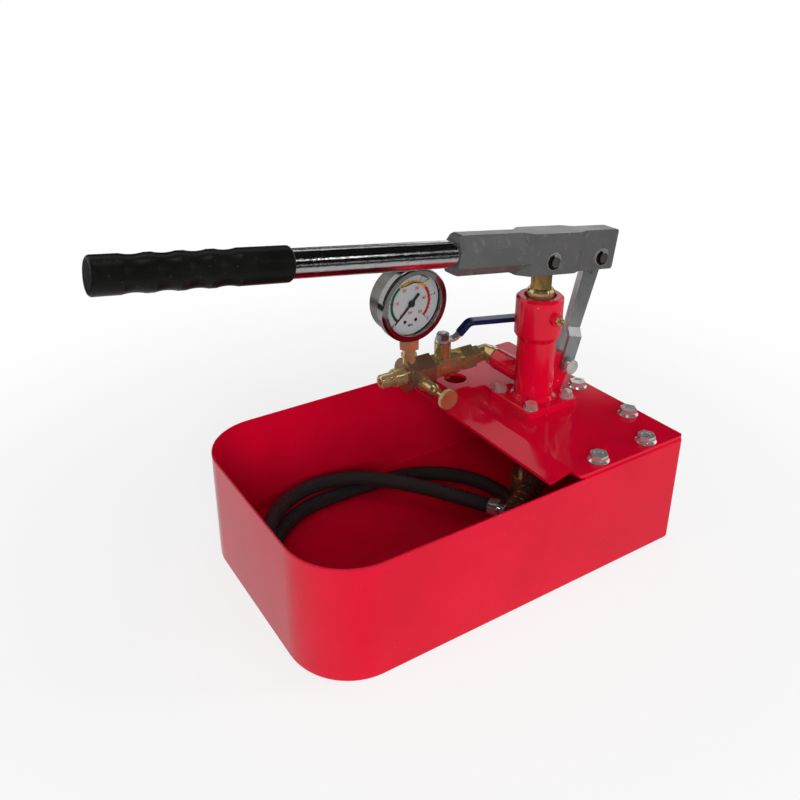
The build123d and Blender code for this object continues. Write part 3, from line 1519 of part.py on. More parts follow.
raised_end, low_end = hose_end_places()
nodes = {
    "tank": make_tank(),
    "cover_plate": make_cover(),
    "cover_bolts": make_cover_bolts(),
    "foot_gasket": make_gasket(),
    "pump_body": make_pump_body(),
    "foot_bolts": make_foot_bolts(),
    "foot_washers": make_foot_washers(),
    "gland_packing": make_gland_packing(),
    "gland_nut": make_gland_nut(),
    "grease_nipple": make_grease_nipple(),
    "fulcrum_pin": make_fulcrum_pin(),
    "fulcrum_clip": make_fulcrum_clip(),
    "inlet_body": make_inlet_body(),
    "inlet_cage": make_inlet_cage(),
    "inlet_ball": make_inlet_ball(),
    "suction_pipe": make_suction_pipe(),
    "suction_strainer": make_strainer(),
    "outlet_ball": make_outlet_ball(),
    "piston_rod": make_piston_rod(),
    "piston": make_piston(),
    "piston_seal": make_piston_seal(),
    "lever_head": make_lever_head(),
    "lever_tube": make_lever_tube(),
    "lever_grip": make_grip(),
    "piston_pin": make_piston_pin(),
    "link_pin": make_link_pin(),
    "pin_washers": make_pin_washers(),
    "pin_clips": make_pin_clips(),
    "link_strip_near": link_strip(-1),
    "link_strip_far": link_strip(1),
    "port_seal_ring": make_seal_ring(),
    "outlet_elbow": make_elbow(),
    "union_nut": make_union_nut(),
    "valve_barrel": make_valve_barrel(),
    "valve_insert": make_valve_insert(),
    "valve_seats": make_valve_seats(),
    "valve_ball": make_valve_ball(),
    "valve_stem": make_valve_stem(),
    "valve_handle": make_valve_handle(),
    "handle_sleeve": make_handle_sleeve(),
    "stem_nut": make_stem_nut(),
    "manifold_block": make_manifold(),
    "outlet_nipple": make_outlet_nipple(),
    "bleed_body": make_bleed_body(),
    "bleed_stem": make_bleed_stem(),
    "bleed_knob": make_bleed_knob(),
    "gauge_stem": make_gauge_stem(),
    "gauge_case": make_gauge_case(),
    "gauge_bezel": make_gauge_bezel(),
    "gauge_lens": make_gauge_lens(),
    "gauge_dial": make_gauge_dial(),
    "gauge_pointer": make_gauge_pointer(),
    "gauge_movement": make_gauge_movement(),
    "gauge_pressure_tube": make_pressure_tube(),
    "hose_tube": make_hose_tube(),
    "hose_ferrule_raised": make_ferrule(raised_end, ferrule_cover, ferrule_nose, ferrule_ring_count),
    "hose_ferrule_low": make_ferrule(low_end, short_ferrule_cover, short_ferrule_nose, 1),
    "hose_tails": bundle([make_tail(raised_end, ferrule_cover), make_tail(low_end, short_ferrule_cover)]),
    "hose_nut_raised": make_swivel_nut(raised_end),
    "hose_nut_low": make_swivel_nut(low_end),
}

os.makedirs("parts", exist_ok=True)
for name, shape in nodes.items():
    export_step(shape, "parts/" + name + ".step")

hose_length = hose_line().length
hose_section = math.pi * (hose_radius**2 - hose_bore**2)
hose_volume = nodes["hose_tube"].volume
print("hose bend radii", [round(radius, 1) for radius in hose_radii()])
print("hose runs", [round(run, 1) for run in hose_runs()])
print("hose length", round(hose_length, 1), "volume share", round(hose_volume / (hose_section * hose_length), 4))
print("link length and tilt", round(link_length, 3), round(link_tilt, 3))
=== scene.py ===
"""Hand test pump: a lever pump on a red sheet tank, dressed for rendering."""

import math

import bpy
from mathutils import Matrix, Vector


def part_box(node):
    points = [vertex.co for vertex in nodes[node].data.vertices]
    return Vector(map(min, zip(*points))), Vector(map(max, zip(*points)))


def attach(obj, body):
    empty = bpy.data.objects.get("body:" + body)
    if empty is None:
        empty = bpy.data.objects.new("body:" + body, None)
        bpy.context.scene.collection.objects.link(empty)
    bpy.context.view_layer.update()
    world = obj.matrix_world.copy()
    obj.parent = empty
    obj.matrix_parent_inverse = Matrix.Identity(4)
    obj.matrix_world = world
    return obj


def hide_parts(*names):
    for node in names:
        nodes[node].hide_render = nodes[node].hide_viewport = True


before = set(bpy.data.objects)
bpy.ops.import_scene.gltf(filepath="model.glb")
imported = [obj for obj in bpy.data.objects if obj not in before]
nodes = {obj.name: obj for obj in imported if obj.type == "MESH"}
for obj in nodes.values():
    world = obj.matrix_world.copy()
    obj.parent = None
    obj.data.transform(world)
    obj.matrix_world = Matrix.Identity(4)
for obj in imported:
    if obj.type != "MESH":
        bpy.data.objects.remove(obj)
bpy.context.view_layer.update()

# The camera stands to the left of the tank's near side, a little above it, where the photograph
# was taken from. Its right, up and forward directions are those measured from the tank's edges.
camera_place = Vector((-0.36492, -0.49711, 0.47279))
camera_right = Vector((0.85589, -0.51701, -0.01273))
camera_forward = Vector((0.46878, 0.78598, -0.40309))
camera_up = camera_right.cross(camera_forward)


def added(name, data):
    """Puts a new object with this data in the scene and returns it."""
    made = bpy.data.objects.new(name, data)
    bpy.context.scene.collection.objects.link(made)
    return made


camera_data = bpy.data.cameras.new("camera")
camera_data.sensor_width = 36.0
camera_data.lens = 37.119
camera_data.shift_x = 0.0416
camera_data.shift_y = -0.0855
camera_data.clip_start = 0.01
camera_data.clip_end = 30.0
camera = added("camera", camera_data)
camera_turn = Matrix((camera_right, camera_up, -camera_forward)).transposed().to_4x4()
camera.matrix_world = Matrix.Translation(camera_place) @ camera_turn
bpy.context.scene.camera = camera
bpy.context.scene.view_settings.view_transform = "Standard"

# A pale floor under the pump and a plain white surround. Lamps and the sky give an even studio
# light; cards round the pump and a grey one on the floor are seen only in reflections.


def node(tree, kind, inputs=None, **settings):
    """Adds a shader node and sets its sockets and other settings."""
    made = tree.nodes.new(kind)
    for name, value in settings.items():
        setattr(made, name, value)
    for name, value in (inputs or {}).items():
        made.inputs[name].default_value = value
    return made


def wire(tree, *pairs):
    """Joins output sockets to input sockets, two by two."""
    for start, end in zip(pairs[::2], pairs[1::2]):
        tree.links.new(start, end)


def maths(tree, operation, first, second=None):
    """A Math node fed by sockets or plain numbers; returns its output."""
    made = node(tree, "ShaderNodeMath", operation=operation)
    for place, value in enumerate((first, second)):
        if value is None:
            continue
        if isinstance(value, (int, float)):
            made.inputs[place].default_value = value
        else:
            tree.links.new(value, made.inputs[place])
    return made.outputs[0]


def ranged(tree, value, low, high, new_low, new_high):
    """A Map Range node from low..high to new_low..new_high; returns its output."""
    made = node(tree, "ShaderNodeMapRange", {1: low, 2: high, 3: new_low, 4: new_high})
    tree.links.new(value, made.inputs[0])
    return made.outputs[0]


world = bpy.data.worlds.new("surround")
bpy.context.scene.world = world
world.use_nodes = True
sky = world.node_tree
sky.nodes.clear()
rays = node(sky, "ShaderNodeLightPath")
seen = maths(sky, "MAXIMUM", rays.outputs["Is Camera Ray"], rays.outputs["Is Glossy Ray"])
seen = maths(sky, "MAXIMUM", seen, rays.outputs["Is Transmission Ray"])
shining = node(sky, "ShaderNodeBackground", {"Color": (1.0, 1.0, 1.0, 1.0), "Strength": 1.0})
lighting = node(sky, "ShaderNodeBackground", {"Color": (0.97, 0.98, 1.0, 1.0), "Strength": 0.30})
either = node(sky, "ShaderNodeMixShader")
sky_out = node(sky, "ShaderNodeOutputWorld")
wire(sky, seen, either.inputs[0], lighting.outputs[0], either.inputs[1],
     shining.outputs[0], either.inputs[2], either.outputs[0], sky_out.inputs[0])

floor_half = 6.0
floor_gap = 0.0004
floor_mesh = bpy.data.meshes.new("floor")
floor_mesh.from_pydata(
    [(-floor_half, -floor_half, -floor_gap), (floor_half, -floor_half, -floor_gap),
     (floor_half, floor_half, -floor_gap), (-floor_half, floor_half, -floor_gap)],
    [], [(0, 1, 2, 3)])
floor = added("floor", floor_mesh)
floor_paper = bpy.data.materials.new("floor_paper")
floor_paper.use_nodes = True
paper = floor_paper.node_tree
paper.nodes.clear()
spot = node(paper, "ShaderNodeTexCoord")
distance = node(paper, "ShaderNodeVectorMath", operation="LENGTH")
shaded_near, shaded_far, shaded_share = 0.22, 0.75, 0.25
near_share = node(paper, "ShaderNodeMapRange", {1: shaded_near, 2: shaded_far, 3: shaded_share, 4: 0.0},
                  interpolation_type="SMOOTHSTEP")
matt = node(paper, "ShaderNodeBsdfDiffuse", {"Color": (0.94, 0.94, 0.94, 1.0)})
glow = node(paper, "ShaderNodeEmission", {"Color": (1.0, 1.0, 1.0, 1.0), "Strength": 1.0})
rays = node(paper, "ShaderNodeLightPath")
paper_seen = maths(paper, "MAXIMUM", rays.outputs["Is Camera Ray"], rays.outputs["Is Glossy Ray"])
glow_share = maths(paper, "SUBTRACT", 1.0, near_share.outputs[0])
lit_share = maths(paper, "SUBTRACT", 1.0, maths(paper, "MULTIPLY", paper_seen, glow_share))
paper_mix = node(paper, "ShaderNodeMixShader")
paper_out = node(paper, "ShaderNodeOutputMaterial")
wire(paper, spot.outputs["Object"], distance.inputs[0], distance.outputs["Value"], near_share.inputs[0],
     lit_share, paper_mix.inputs[0], glow.outputs[0], paper_mix.inputs[1],
     matt.outputs[0], paper_mix.inputs[2], paper_mix.outputs[0], paper_out.inputs[0])
floor.data.materials.append(floor_paper)


def lamp(name, place, target, width, height, power):
    """A soft box lamp facing a point."""
    data = bpy.data.lights.new(name, "AREA")
    data.shape = "RECTANGLE"
    data.size = width
    data.size_y = height
    data.energy = power
    made = added(name, data)
    made.location = place
    made.rotation_mode = "QUATERNION"
    made.rotation_quaternion = (Vector(target) - Vector(place)).to_track_quat("-Z", "Y")
    return made


# Each lamp's place, the point that it faces, its width, height and watts, and whether metal mirrors it.
for name, place, target, width, height, power, mirrored in (
        ("key_lamp", (-0.9, -1.7, 0.80), (0.0, 0.0, 0.1), 1.1, 0.9, 27.0, False),
        ("top_lamp", (0.1, -0.1, 1.8), (0.0, 0.0, 0.1), 0.5, 0.5, 2.0, True),
        ("side_lamp", (1.5, -0.9, 0.7), (0.0, 0.0, 0.1), 0.5, 0.8, 8.0, False),
        ("glint_lamp", (-0.9, -1.1, 1.25), (0.0, 0.1, 0.15), 0.16, 0.12, 1.6, True),
        ("line_lamp", (0.8, -1.1, 1.0), (0.0, 0.0, 0.15), 0.22, 0.12, 0.3, True)):
    lamp(name, place, target, width, height, power).visible_glossy = mirrored


def card_paper(name):
    """A card material that looks the same in every reflection; returns it and its emission node."""
    material = bpy.data.materials.new(name)
    material.use_nodes = True
    tree = material.node_tree
    tree.nodes.clear()
    even = node(tree, "ShaderNodeEmission", {"Color": (1.0, 1.0, 1.0, 1.0), "Strength": 0.006})
    paper_end = node(tree, "ShaderNodeOutputMaterial")
    wire(tree, even.outputs[0], paper_end.inputs[0])
    return material, even


# The card on the floor is grey near the tank, lighter round its left corner, and black far away.
card_black = card_paper("card_black")[0]
card_grey, even = card_paper("card_grey")
tree = card_grey.node_tree
corner_x, corner_y = -0.12, -0.07
spot = node(tree, "ShaderNodeNewGeometry")
split = node(tree, "ShaderNodeSeparateXYZ")
reach = node(tree, "ShaderNodeVectorMath", operation="LENGTH")
wire(tree, spot.outputs["Position"], split.inputs[0], spot.outputs["Position"], reach.inputs[0])
leftward = maths(tree, "ARCTAN2", maths(tree, "SUBTRACT", corner_x, split.outputs[0]),
                 maths(tree, "SUBTRACT", corner_y, split.outputs[1]))
near_grey = ranged(tree, leftward, 0.35, 1.35, 0.42, 0.72)
fading = ranged(tree, reach.outputs["Value"], 0.60, 0.78, 1.0, 0.06)
wire(tree, maths(tree, "MULTIPLY", near_grey, fading), even.inputs["Strength"])


def studio_card(name, place, target, width, height, material):
    """A card facing a point, which shows only in reflections."""
    x, y = width / 2, height / 2
    mesh = bpy.data.meshes.new(name)
    mesh.from_pydata([(-x, -y, 0), (x, -y, 0), (x, y, 0), (-x, y, 0)], [], [(0, 1, 2, 3)])
    made = added(name, mesh)
    made.location = place
    made.rotation_mode = "QUATERNION"
    made.rotation_quaternion = (Vector(target) - Vector(place)).to_track_quat("Z", "Y")
    made.data.materials.append(material)
    made.visible_camera = False
    made.visible_diffuse = False
    made.visible_shadow = False
    made.visible_transmission = False


# Each card's place, the point that it faces, its width, height and material.
for name, place, target, width, height, material in (
        ("ceiling_card", (-0.2, -1.375, 2.3), (-0.2, -1.375, 0.0), 7.0, 5.05, card_black),
        ("floor_card", (0.2, -0.9, floor_gap), (0.2, -0.9, 1.0), 7.0, 4.9, card_grey),
        ("low_card", (0.35, 2.8, 1.0), (0.35, 0.0, 1.0), 3.7, 1.3, card_black),
        ("front_card", (0.2, -3.2, 1.25), (0.2, 0.0, 1.25), 7.0, 2.3, card_black),
        ("left_card", (-3.2, -0.9, 1.25), (0.0, -0.9, 1.25), 4.0, 2.3, card_black),
        ("back_card", (1.64, 2.68, 2.35), (0.0, 0.0, 2.35), 5.0, 1.25, card_black)):
    studio_card(name, place, target, width, height, material)

# Tank and cover: folded and welded steel sheet, sprayed in bright red gloss. The paint has a fine
# orange peel, a few dust specks caught under it, faint smears and softened sheet edges.


def effect(name, inputs, outputs):
    """A shader node group with named sockets; returns the group, its inlet and its outlet."""
    group = bpy.data.node_groups.new(name, "ShaderNodeTree")
    for label, kind, value in inputs:
        socket = group.interface.new_socket(name=label, in_out="INPUT", socket_type=kind)
        socket.default_value = value
    for label, kind in outputs:
        group.interface.new_socket(name=label, in_out="OUTPUT", socket_type=kind)
    return group, node(group, "NodeGroupInput"), node(group, "NodeGroupOutput")


def placed(tree, group, **values):
    """Puts an effect in a material with its own values."""
    made = node(tree, "ShaderNodeGroup", node_tree=group)
    for name, value in values.items():
        made.inputs[name.replace("_", " ")].default_value = value
    return made


number, direction = "NodeSocketFloat", "NodeSocketVector"

soft_edges, inlet, outlet = effect("soft_edges", [("Radius", number, 0.0005)], [("Normal", direction)])
rounded = node(soft_edges, "ShaderNodeBevel", samples=4)
wire(soft_edges, inlet.outputs["Radius"], rounded.inputs["Radius"],
     rounded.outputs[0], outlet.inputs["Normal"])

surface_marks, inlet, outlet = effect(
    "surface_marks",
    [("Grain scale", number, 900.0), ("Patch scale", number, 18.0), ("Speck scale", number, 260.0),
     ("Speck share", number, 0.06)],
    [("Grain", number), ("Patches", number), ("Specks", number)])
place = node(surface_marks, "ShaderNodeTexCoord")
grain = node(surface_marks, "ShaderNodeTexNoise", {"Detail": 3.0, "Roughness": 0.6})
patches = node(surface_marks, "ShaderNodeTexNoise", {"Detail": 4.0, "Roughness": 0.55, "Distortion": 0.4})
specks = node(surface_marks, "ShaderNodeTexVoronoi", feature="F1")
speck_choice = node(surface_marks, "ShaderNodeSeparateColor")
spread = maths(surface_marks, "LESS_THAN", speck_choice.outputs[0], inlet.outputs["Speck share"])
dots = ranged(surface_marks, specks.outputs["Distance"], 0.1, 0.28, 1.0, 0.0)
wire(surface_marks, place.outputs["Object"], grain.inputs["Vector"], place.outputs["Object"],
     patches.inputs["Vector"], place.outputs["Object"], specks.inputs["Vector"],
     inlet.outputs["Grain scale"], grain.inputs["Scale"], inlet.outputs["Patch scale"],
     patches.inputs["Scale"], inlet.outputs["Speck scale"], specks.inputs["Scale"],
     specks.outputs["Color"], speck_choice.inputs[0], grain.outputs[0], outlet.inputs["Grain"],
     patches.outputs[0], outlet.inputs["Patches"],
     maths(surface_marks, "MULTIPLY", spread, dots), outlet.inputs["Specks"])


def blended(tree, share, first, second):
    """A colour mix; the colours are sockets or plain RGBA values."""
    made = node(tree, "ShaderNodeMix", data_type="RGBA")
    for place, value in ((0, share), (6, first), (7, second)):
        if isinstance(value, (int, float, tuple)):
            made.inputs[place].default_value = value
        else:
            tree.links.new(value, made.inputs[place])
    return made.outputs[2]


def fresh_material(name):
    """A new material; returns it, its node tree and its main shader."""
    material = bpy.data.materials.new(name)
    material.use_nodes = True
    tree = material.node_tree
    return material, tree, tree.nodes["Principled BSDF"]


def coated(name, base, second, speck_colour, rough, peel, speck_share, edge, **surface):
    """A painted, moulded or rubber finish: two tones in patches, specks, relief and soft edges."""
    material, tree, shader = fresh_material(name)
    marks = placed(tree, surface_marks, Grain_scale=surface.pop("grain_scale", 700.0),
                   Patch_scale=surface.pop("patch_scale", 14.0),
                   Speck_scale=surface.pop("speck_scale", 170.0), Speck_share=speck_share)
    edges = placed(tree, soft_edges, Radius=edge)
    relief = node(tree, "ShaderNodeBump", {"Strength": 1.0, "Distance": peel})
    patchy = ranged(tree, marks.outputs["Patches"], 0.35, 0.68, 0.0, 1.0)
    tone = blended(tree, patchy, (*base, 1.0), (*second, 1.0))
    tone = blended(tree, marks.outputs["Specks"], tone, (*speck_colour, 1.0))
    wire(tree, tone, shader.inputs["Base Color"],
         ranged(tree, marks.outputs["Patches"], 0.3, 0.7, rough[0], rough[1]), shader.inputs["Roughness"],
         maths(tree, "ADD", marks.outputs["Grain"], marks.outputs["Specks"]), relief.inputs["Height"],
         edges.outputs["Normal"], relief.inputs["Normal"], relief.outputs[0], shader.inputs["Normal"])
    for label, value in surface.items():
        shader.inputs[label.replace("_", " ")].default_value = value
    return material


def dress(material, *names):
    """Gives CAD nodes a material, on every slot of their meshes."""
    for name in names:
        slots = nodes[name].data.materials
        if len(slots) == 0:
            slots.append(material)
        for place in range(len(slots)):
            slots[place] = material


sheet_red = coated("sheet_red", (0.66, 0.002, 0.026), (0.58, 0.001, 0.021), (0.78, 0.16, 0.18),
                   rough=(0.04, 0.09), peel=0.00002, speck_share=0.006, edge=0.0006, speck_scale=900.0,
                   Specular_IOR_Level=0.3)
dress(sheet_red, "tank", "cover_plate")

# Pump body: one iron casting with its foot, collar, port and bosses, brushed with thick red gloss
# enamel that runs into the corners. It stands on a red-painted gasket on the cover.
casting_red = coated("casting_red", (0.66, 0.002, 0.024), (0.56, 0.001, 0.019), (0.85, 0.45, 0.42),
                     rough=(0.08, 0.18), peel=0.00012, speck_share=0.008, edge=0.0016,
                     grain_scale=190.0, speck_scale=420.0)
dress(casting_red, "pump_body", "foot_gasket")

# Bolts, washers, pins and clips: the bolts, the washers and the fulcrum pin have a bright zinc
# plating, a little cloudy and yellow, with fine marks from the spanner. The clips are blackened, and
# the lever's two pins and the handle's nut are plain dull steel.
brushed, inlet, outlet = effect(
    "brushed", [("Stretch", direction, (1.0, 1.0, 1.0)), ("Scale", number, 600.0)],
    [("Lines", number), ("Scuffs", number)])
place = node(brushed, "ShaderNodeTexCoord")
pulled = node(brushed, "ShaderNodeVectorMath", operation="MULTIPLY")
hair = node(brushed, "ShaderNodeTexNoise", {"Detail": 2.0, "Roughness": 0.7})
scuff = node(brushed, "ShaderNodeTexNoise", {"Scale": 130.0, "Detail": 5.0, "Roughness": 0.75})
wire(brushed, place.outputs["Object"], pulled.inputs[0], inlet.outputs["Stretch"], pulled.inputs[1],
     pulled.outputs[0], hair.inputs["Vector"], inlet.outputs["Scale"], hair.inputs["Scale"],
     place.outputs["Object"], scuff.inputs["Vector"], hair.outputs[0], outlet.inputs["Lines"],
     ranged(brushed, scuff.outputs[0], 0.56, 0.68, 0.0, 1.0), outlet.inputs["Scuffs"])


def metal(name, base, second, tarnish, rough, lines, line_scale, relief_depth, edge, patch_scale=40.0,
          **surface):
    """A bare or plated metal: two tones in patches, scuffs in a third, fine lines and soft edges."""
    material, tree, shader = fresh_material(name)
    shader.inputs["Metallic"].default_value = surface.pop("Metallic", 1.0)
    marks = placed(tree, surface_marks, Grain_scale=1400.0, Patch_scale=patch_scale, Speck_scale=500.0,
                   Speck_share=0.05)
    hairs = placed(tree, brushed, Stretch=lines, Scale=line_scale)
    edges = placed(tree, soft_edges, Radius=edge)
    relief = node(tree, "ShaderNodeBump", {"Strength": 1.0, "Distance": relief_depth})
    patchy = ranged(tree, marks.outputs["Patches"], 0.35, 0.66, 0.0, 1.0)
    tone = blended(tree, patchy, (*base, 1.0), (*second, 1.0))
    tone = blended(tree, maths(tree, "MULTIPLY", hairs.outputs["Scuffs"], 0.55), tone, (*tarnish, 1.0))
    rougher = maths(tree, "ADD", ranged(tree, marks.outputs["Patches"], 0.3, 0.7, rough[0], rough[1]),
                    maths(tree, "MULTIPLY", hairs.outputs["Scuffs"], 0.12))
    wire(tree, tone, shader.inputs["Base Color"], rougher, shader.inputs["Roughness"],
         maths(tree, "ADD", hairs.outputs["Lines"], maths(tree, "MULTIPLY", marks.outputs["Grain"], 0.5)),
         relief.inputs["Height"], edges.outputs["Normal"], relief.inputs["Normal"],
         relief.outputs[0], shader.inputs["Normal"])
    for label, value in surface.items():
        shader.inputs[label.replace("_", " ")].default_value = value
    return material


zinc_bright = metal("zinc_bright", (0.80, 0.80, 0.77), (0.68, 0.68, 0.66), (0.36, 0.33, 0.29),
                    rough=(0.08, 0.18), lines=(1.0, 1.0, 1.0), line_scale=500.0, relief_depth=0.00003,
                    edge=0.0003, Metallic=0.8)
dress(zinc_bright, "cover_bolts", "foot_bolts", "foot_washers", "fulcrum_pin", "pin_washers")
clip_black = metal("clip_black", (0.03, 0.03, 0.03), (0.05, 0.045, 0.04), (0.15, 0.12, 0.1),
                   rough=(0.30, 0.45), lines=(1.0, 1.0, 1.0), line_scale=500.0, relief_depth=0.00002,
                   edge=0.0001)
dress(clip_black, "fulcrum_clip", "pin_clips")
pin_steel = metal("pin_steel", (0.45, 0.44, 0.42), (0.32, 0.30, 0.28), (0.08, 0.07, 0.06),
                  rough=(0.25, 0.42), lines=(1.0, 0.05, 1.0), line_scale=900.0, relief_depth=0.00003,
                  edge=0.0003)
dress(pin_steel, "piston_pin", "link_pin", "stem_nut")

# Link strips: two cranked strips cut from mild steel and zinc plated, with a brushed grain along
# their length. They hang between the fulcrum pin and the lever's link pin.
strip_steel = metal("strip_steel", (0.58, 0.60, 0.60), (0.48, 0.49, 0.49), (0.22, 0.22, 0.21),
                    rough=(0.30, 0.44), lines=(1.0, 1.0, 0.06), line_scale=900.0, relief_depth=0.00003,
                    edge=0.0003, patch_scale=28.0)
dress(strip_steel, "link_strip_near", "link_strip_far")

# Pump inside: brass piston rod with its gland nut, packing and seals, and the inlet and outlet
# check valves, turned from bar that has dulled to an olive gold.
brass_turned = metal("brass_turned", (0.70, 0.52, 0.25), (0.54, 0.39, 0.18), (0.28, 0.18, 0.08),
                     rough=(0.12, 0.21), lines=(1.0, 1.0, 1.0), line_scale=650.0, relief_depth=0.00003,
                     edge=0.0005, Metallic=0.85)
rod_brass = metal("rod_brass", (0.62, 0.40, 0.14), (0.50, 0.31, 0.11), (0.25, 0.14, 0.06),
                  rough=(0.20, 0.34), lines=(0.2, 0.2, 1.0), line_scale=900.0, relief_depth=0.00003,
                  edge=0.0004)
dress(rod_brass, "piston_rod", "piston")
dress(brass_turned, "gland_nut", "grease_nipple", "inlet_body", "inlet_cage", "suction_strainer")
seal_fibre = coated("seal_fibre", (0.16, 0.13, 0.09), (0.10, 0.08, 0.06), (0.2, 0.18, 0.12),
                    rough=(0.6, 0.8), peel=0.0001, speck_share=0.05, edge=0.0002)
dress(seal_fibre, "gland_packing", "piston_seal", "port_seal_ring")
ball_steel = metal("ball_steel", (0.70, 0.70, 0.69), (0.62, 0.62, 0.61), (0.4, 0.4, 0.38),
                   rough=(0.08, 0.16), lines=(1.0, 1.0, 1.0), line_scale=500.0, relief_depth=0.00001,
                   edge=0.0001)
dress(ball_steel, "inlet_ball", "outlet_ball", "valve_ball", "gauge_movement", "gauge_pressure_tube")
pipe_steel = metal("pipe_steel", (0.50, 0.50, 0.48), (0.40, 0.40, 0.38), (0.2, 0.17, 0.13),
                   rough=(0.28, 0.42), lines=(1.0, 1.0, 0.1), line_scale=700.0, relief_depth=0.00003,
                   edge=0.0003)
dress(pipe_steel, "suction_pipe")

# Lever head: a cast aluminium fork and eight-sided socket, painted in dark silver, with the fine
# grain of the casting and small lighter scuffs.
head_silver = metal("head_silver", (0.105, 0.103, 0.103), (0.090, 0.089, 0.089), (0.19, 0.19, 0.185),
                    rough=(0.24, 0.34), lines=(1.0, 1.0, 1.0), line_scale=800.0, relief_depth=0.00003,
                    edge=0.0010, patch_scale=22.0, Metallic=0.15, Specular_IOR_Level=0.3)
dress(head_silver, "lever_head")

# Lever tube: a chromed steel tube set into the head's socket, bright, with a slight grain along it
# and dulled patches.
tube_chrome = metal("tube_chrome", (0.80, 0.80, 0.80), (0.72, 0.72, 0.72), (0.45, 0.45, 0.44),
                    rough=(0.06, 0.13), lines=(0.25, 1.0, 1.0), line_scale=420.0, relief_depth=0.00010,
                    edge=0.0003, patch_scale=60.0)
dress(tube_chrome, "lever_tube")

# Lever grip: a black rubber sleeve pushed over the tube, with four finger valleys and a closed end,
# matt with light scuffs.
grip_black = coated("grip_black", (0.004, 0.004, 0.004), (0.007, 0.007, 0.006), (0.03, 0.03, 0.028),
                    rough=(0.27, 0.37), peel=0.00006, speck_share=0.06, edge=0.0012, grain_scale=1100.0,
                    patch_scale=26.0, speck_scale=420.0, Specular_IOR_Level=0.14)
dress(grip_black, "lever_grip")

# Outlet line: brass elbow, union, ball valve, drilled block and nipple, all turned or milled from
# bar, and all have dulled unevenly. The block's brass is painted darker and redder, a painted shade with a
# painted reflection of the red tank; the nipple's and the gauge stem's brass is painted paler, a painted
# highlight.
# Painted shade and painted red reflection: the block gets a darker, redder copy of the brass.
shaded_red_block_brass = metal("shaded_red_block_brass", (0.30, 0.165, 0.105), (0.24, 0.13, 0.085), (0.15, 0.085, 0.05),
                    rough=(0.22, 0.32), lines=(1.0, 0.2, 1.0), line_scale=700.0, relief_depth=0.00003,
                    edge=0.0006, Metallic=0.7)
dress(shaded_red_block_brass, "manifold_block")
dress(brass_turned, "outlet_elbow", "union_nut", "valve_barrel", "valve_insert",
      "bleed_body", "bleed_stem", "bleed_knob")
# Painted highlight: the gauge stem and the nipple get a paler copy of the brass.
highlit_pale_brass = metal("highlit_pale_brass", (0.78, 0.57, 0.29), (0.64, 0.46, 0.22), (0.36, 0.24, 0.11),
                   rough=(0.10, 0.18), lines=(1.0, 1.0, 1.0), line_scale=650.0, relief_depth=0.00003,
                   edge=0.0005, Metallic=0.75)
dress(highlit_pale_brass, "gauge_stem", "outlet_nipple")
seat_white = coated("seat_white", (0.80, 0.80, 0.77), (0.74, 0.74, 0.70), (0.6, 0.6, 0.55),
                    rough=(0.3, 0.4), peel=0.00001, speck_share=0.02, edge=0.0002)
dress(seat_white, "valve_seats")

# Valve handle: a bent, zinc plated steel lever held on the stem by a nut, its end dipped in a glossy
# navy blue vinyl sleeve.
dress(zinc_bright, "valve_handle", "valve_stem")
sleeve_blue = coated("sleeve_blue", (0.003, 0.009, 0.052), (0.002, 0.007, 0.040), (0.04, 0.05, 0.10),
                     rough=(0.14, 0.26), peel=0.00004, speck_share=0.02, edge=0.0014, grain_scale=300.0,
                     Coat_Weight=0.1)
dress(sleeve_blue, "handle_sleeve")

# Gauge: a crimped stainless case and bezel, a white dial with coloured bands, a black pointer and
# a flat window; the case is filled with clear liquid but for one bubble at the top.
case_steel = metal("case_steel", (0.22, 0.212, 0.198), (0.18, 0.172, 0.16), (0.2, 0.19, 0.17),
                   rough=(0.22, 0.34), lines=(1.0, 0.1, 1.0), line_scale=500.0, relief_depth=0.00003,
                   edge=0.0006)
dress(case_steel, "gauge_case")
bezel_steel = metal("bezel_steel", (0.32, 0.315, 0.31), (0.28, 0.275, 0.27), (0.2, 0.2, 0.2),
                    rough=(0.05, 0.11), lines=(1.0, 1.0, 1.0), line_scale=300.0, relief_depth=0.00001,
                    edge=0.0003)
dress(bezel_steel, "gauge_bezel")
dial_paint = coated("dial_paint", (0.42, 0.42, 0.43), (0.39, 0.39, 0.40), (0.35, 0.35, 0.35),
                    rough=(0.4, 0.5), peel=0.00001, speck_share=0.01, edge=0.0001,
                    Specular_IOR_Level=0.2)
dress(dial_paint, "gauge_dial")
ink_black = coated("ink_black", (0.012, 0.012, 0.012), (0.02, 0.02, 0.02), (0.05, 0.05, 0.05),
                   rough=(0.35, 0.45), peel=0.00001, speck_share=0.01, edge=0.0001,
                   Specular_IOR_Level=0.1)
dress(ink_black, "gauge_pointer")


def clear(name, tint, rough, refraction):
    """Clear window or liquid: it refracts what is behind it and lets the lamps' light through."""
    material, tree, shader = fresh_material(name)
    shader.inputs["Base Color"].default_value = (*tint, 1.0)
    shader.inputs["Roughness"].default_value = rough
    shader.inputs["IOR"].default_value = refraction
    shader.inputs["Transmission Weight"].default_value = 1.0
    rays = node(tree, "ShaderNodeLightPath")
    passing = node(tree, "ShaderNodeBsdfTransparent")
    both = node(tree, "ShaderNodeMixShader")
    light = maths(tree, "MAXIMUM", rays.outputs["Is Shadow Ray"], rays.outputs["Is Diffuse Ray"])
    wire(tree, light, both.inputs[0], shader.outputs[0], both.inputs[1], passing.outputs[0], both.inputs[2],
         both.outputs[0], tree.nodes["Material Output"].inputs["Surface"])
    return material


window_clear = clear("window_clear", (0.97, 0.98, 0.98), rough=0.02, refraction=1.12)
dress(window_clear, "gauge_lens")

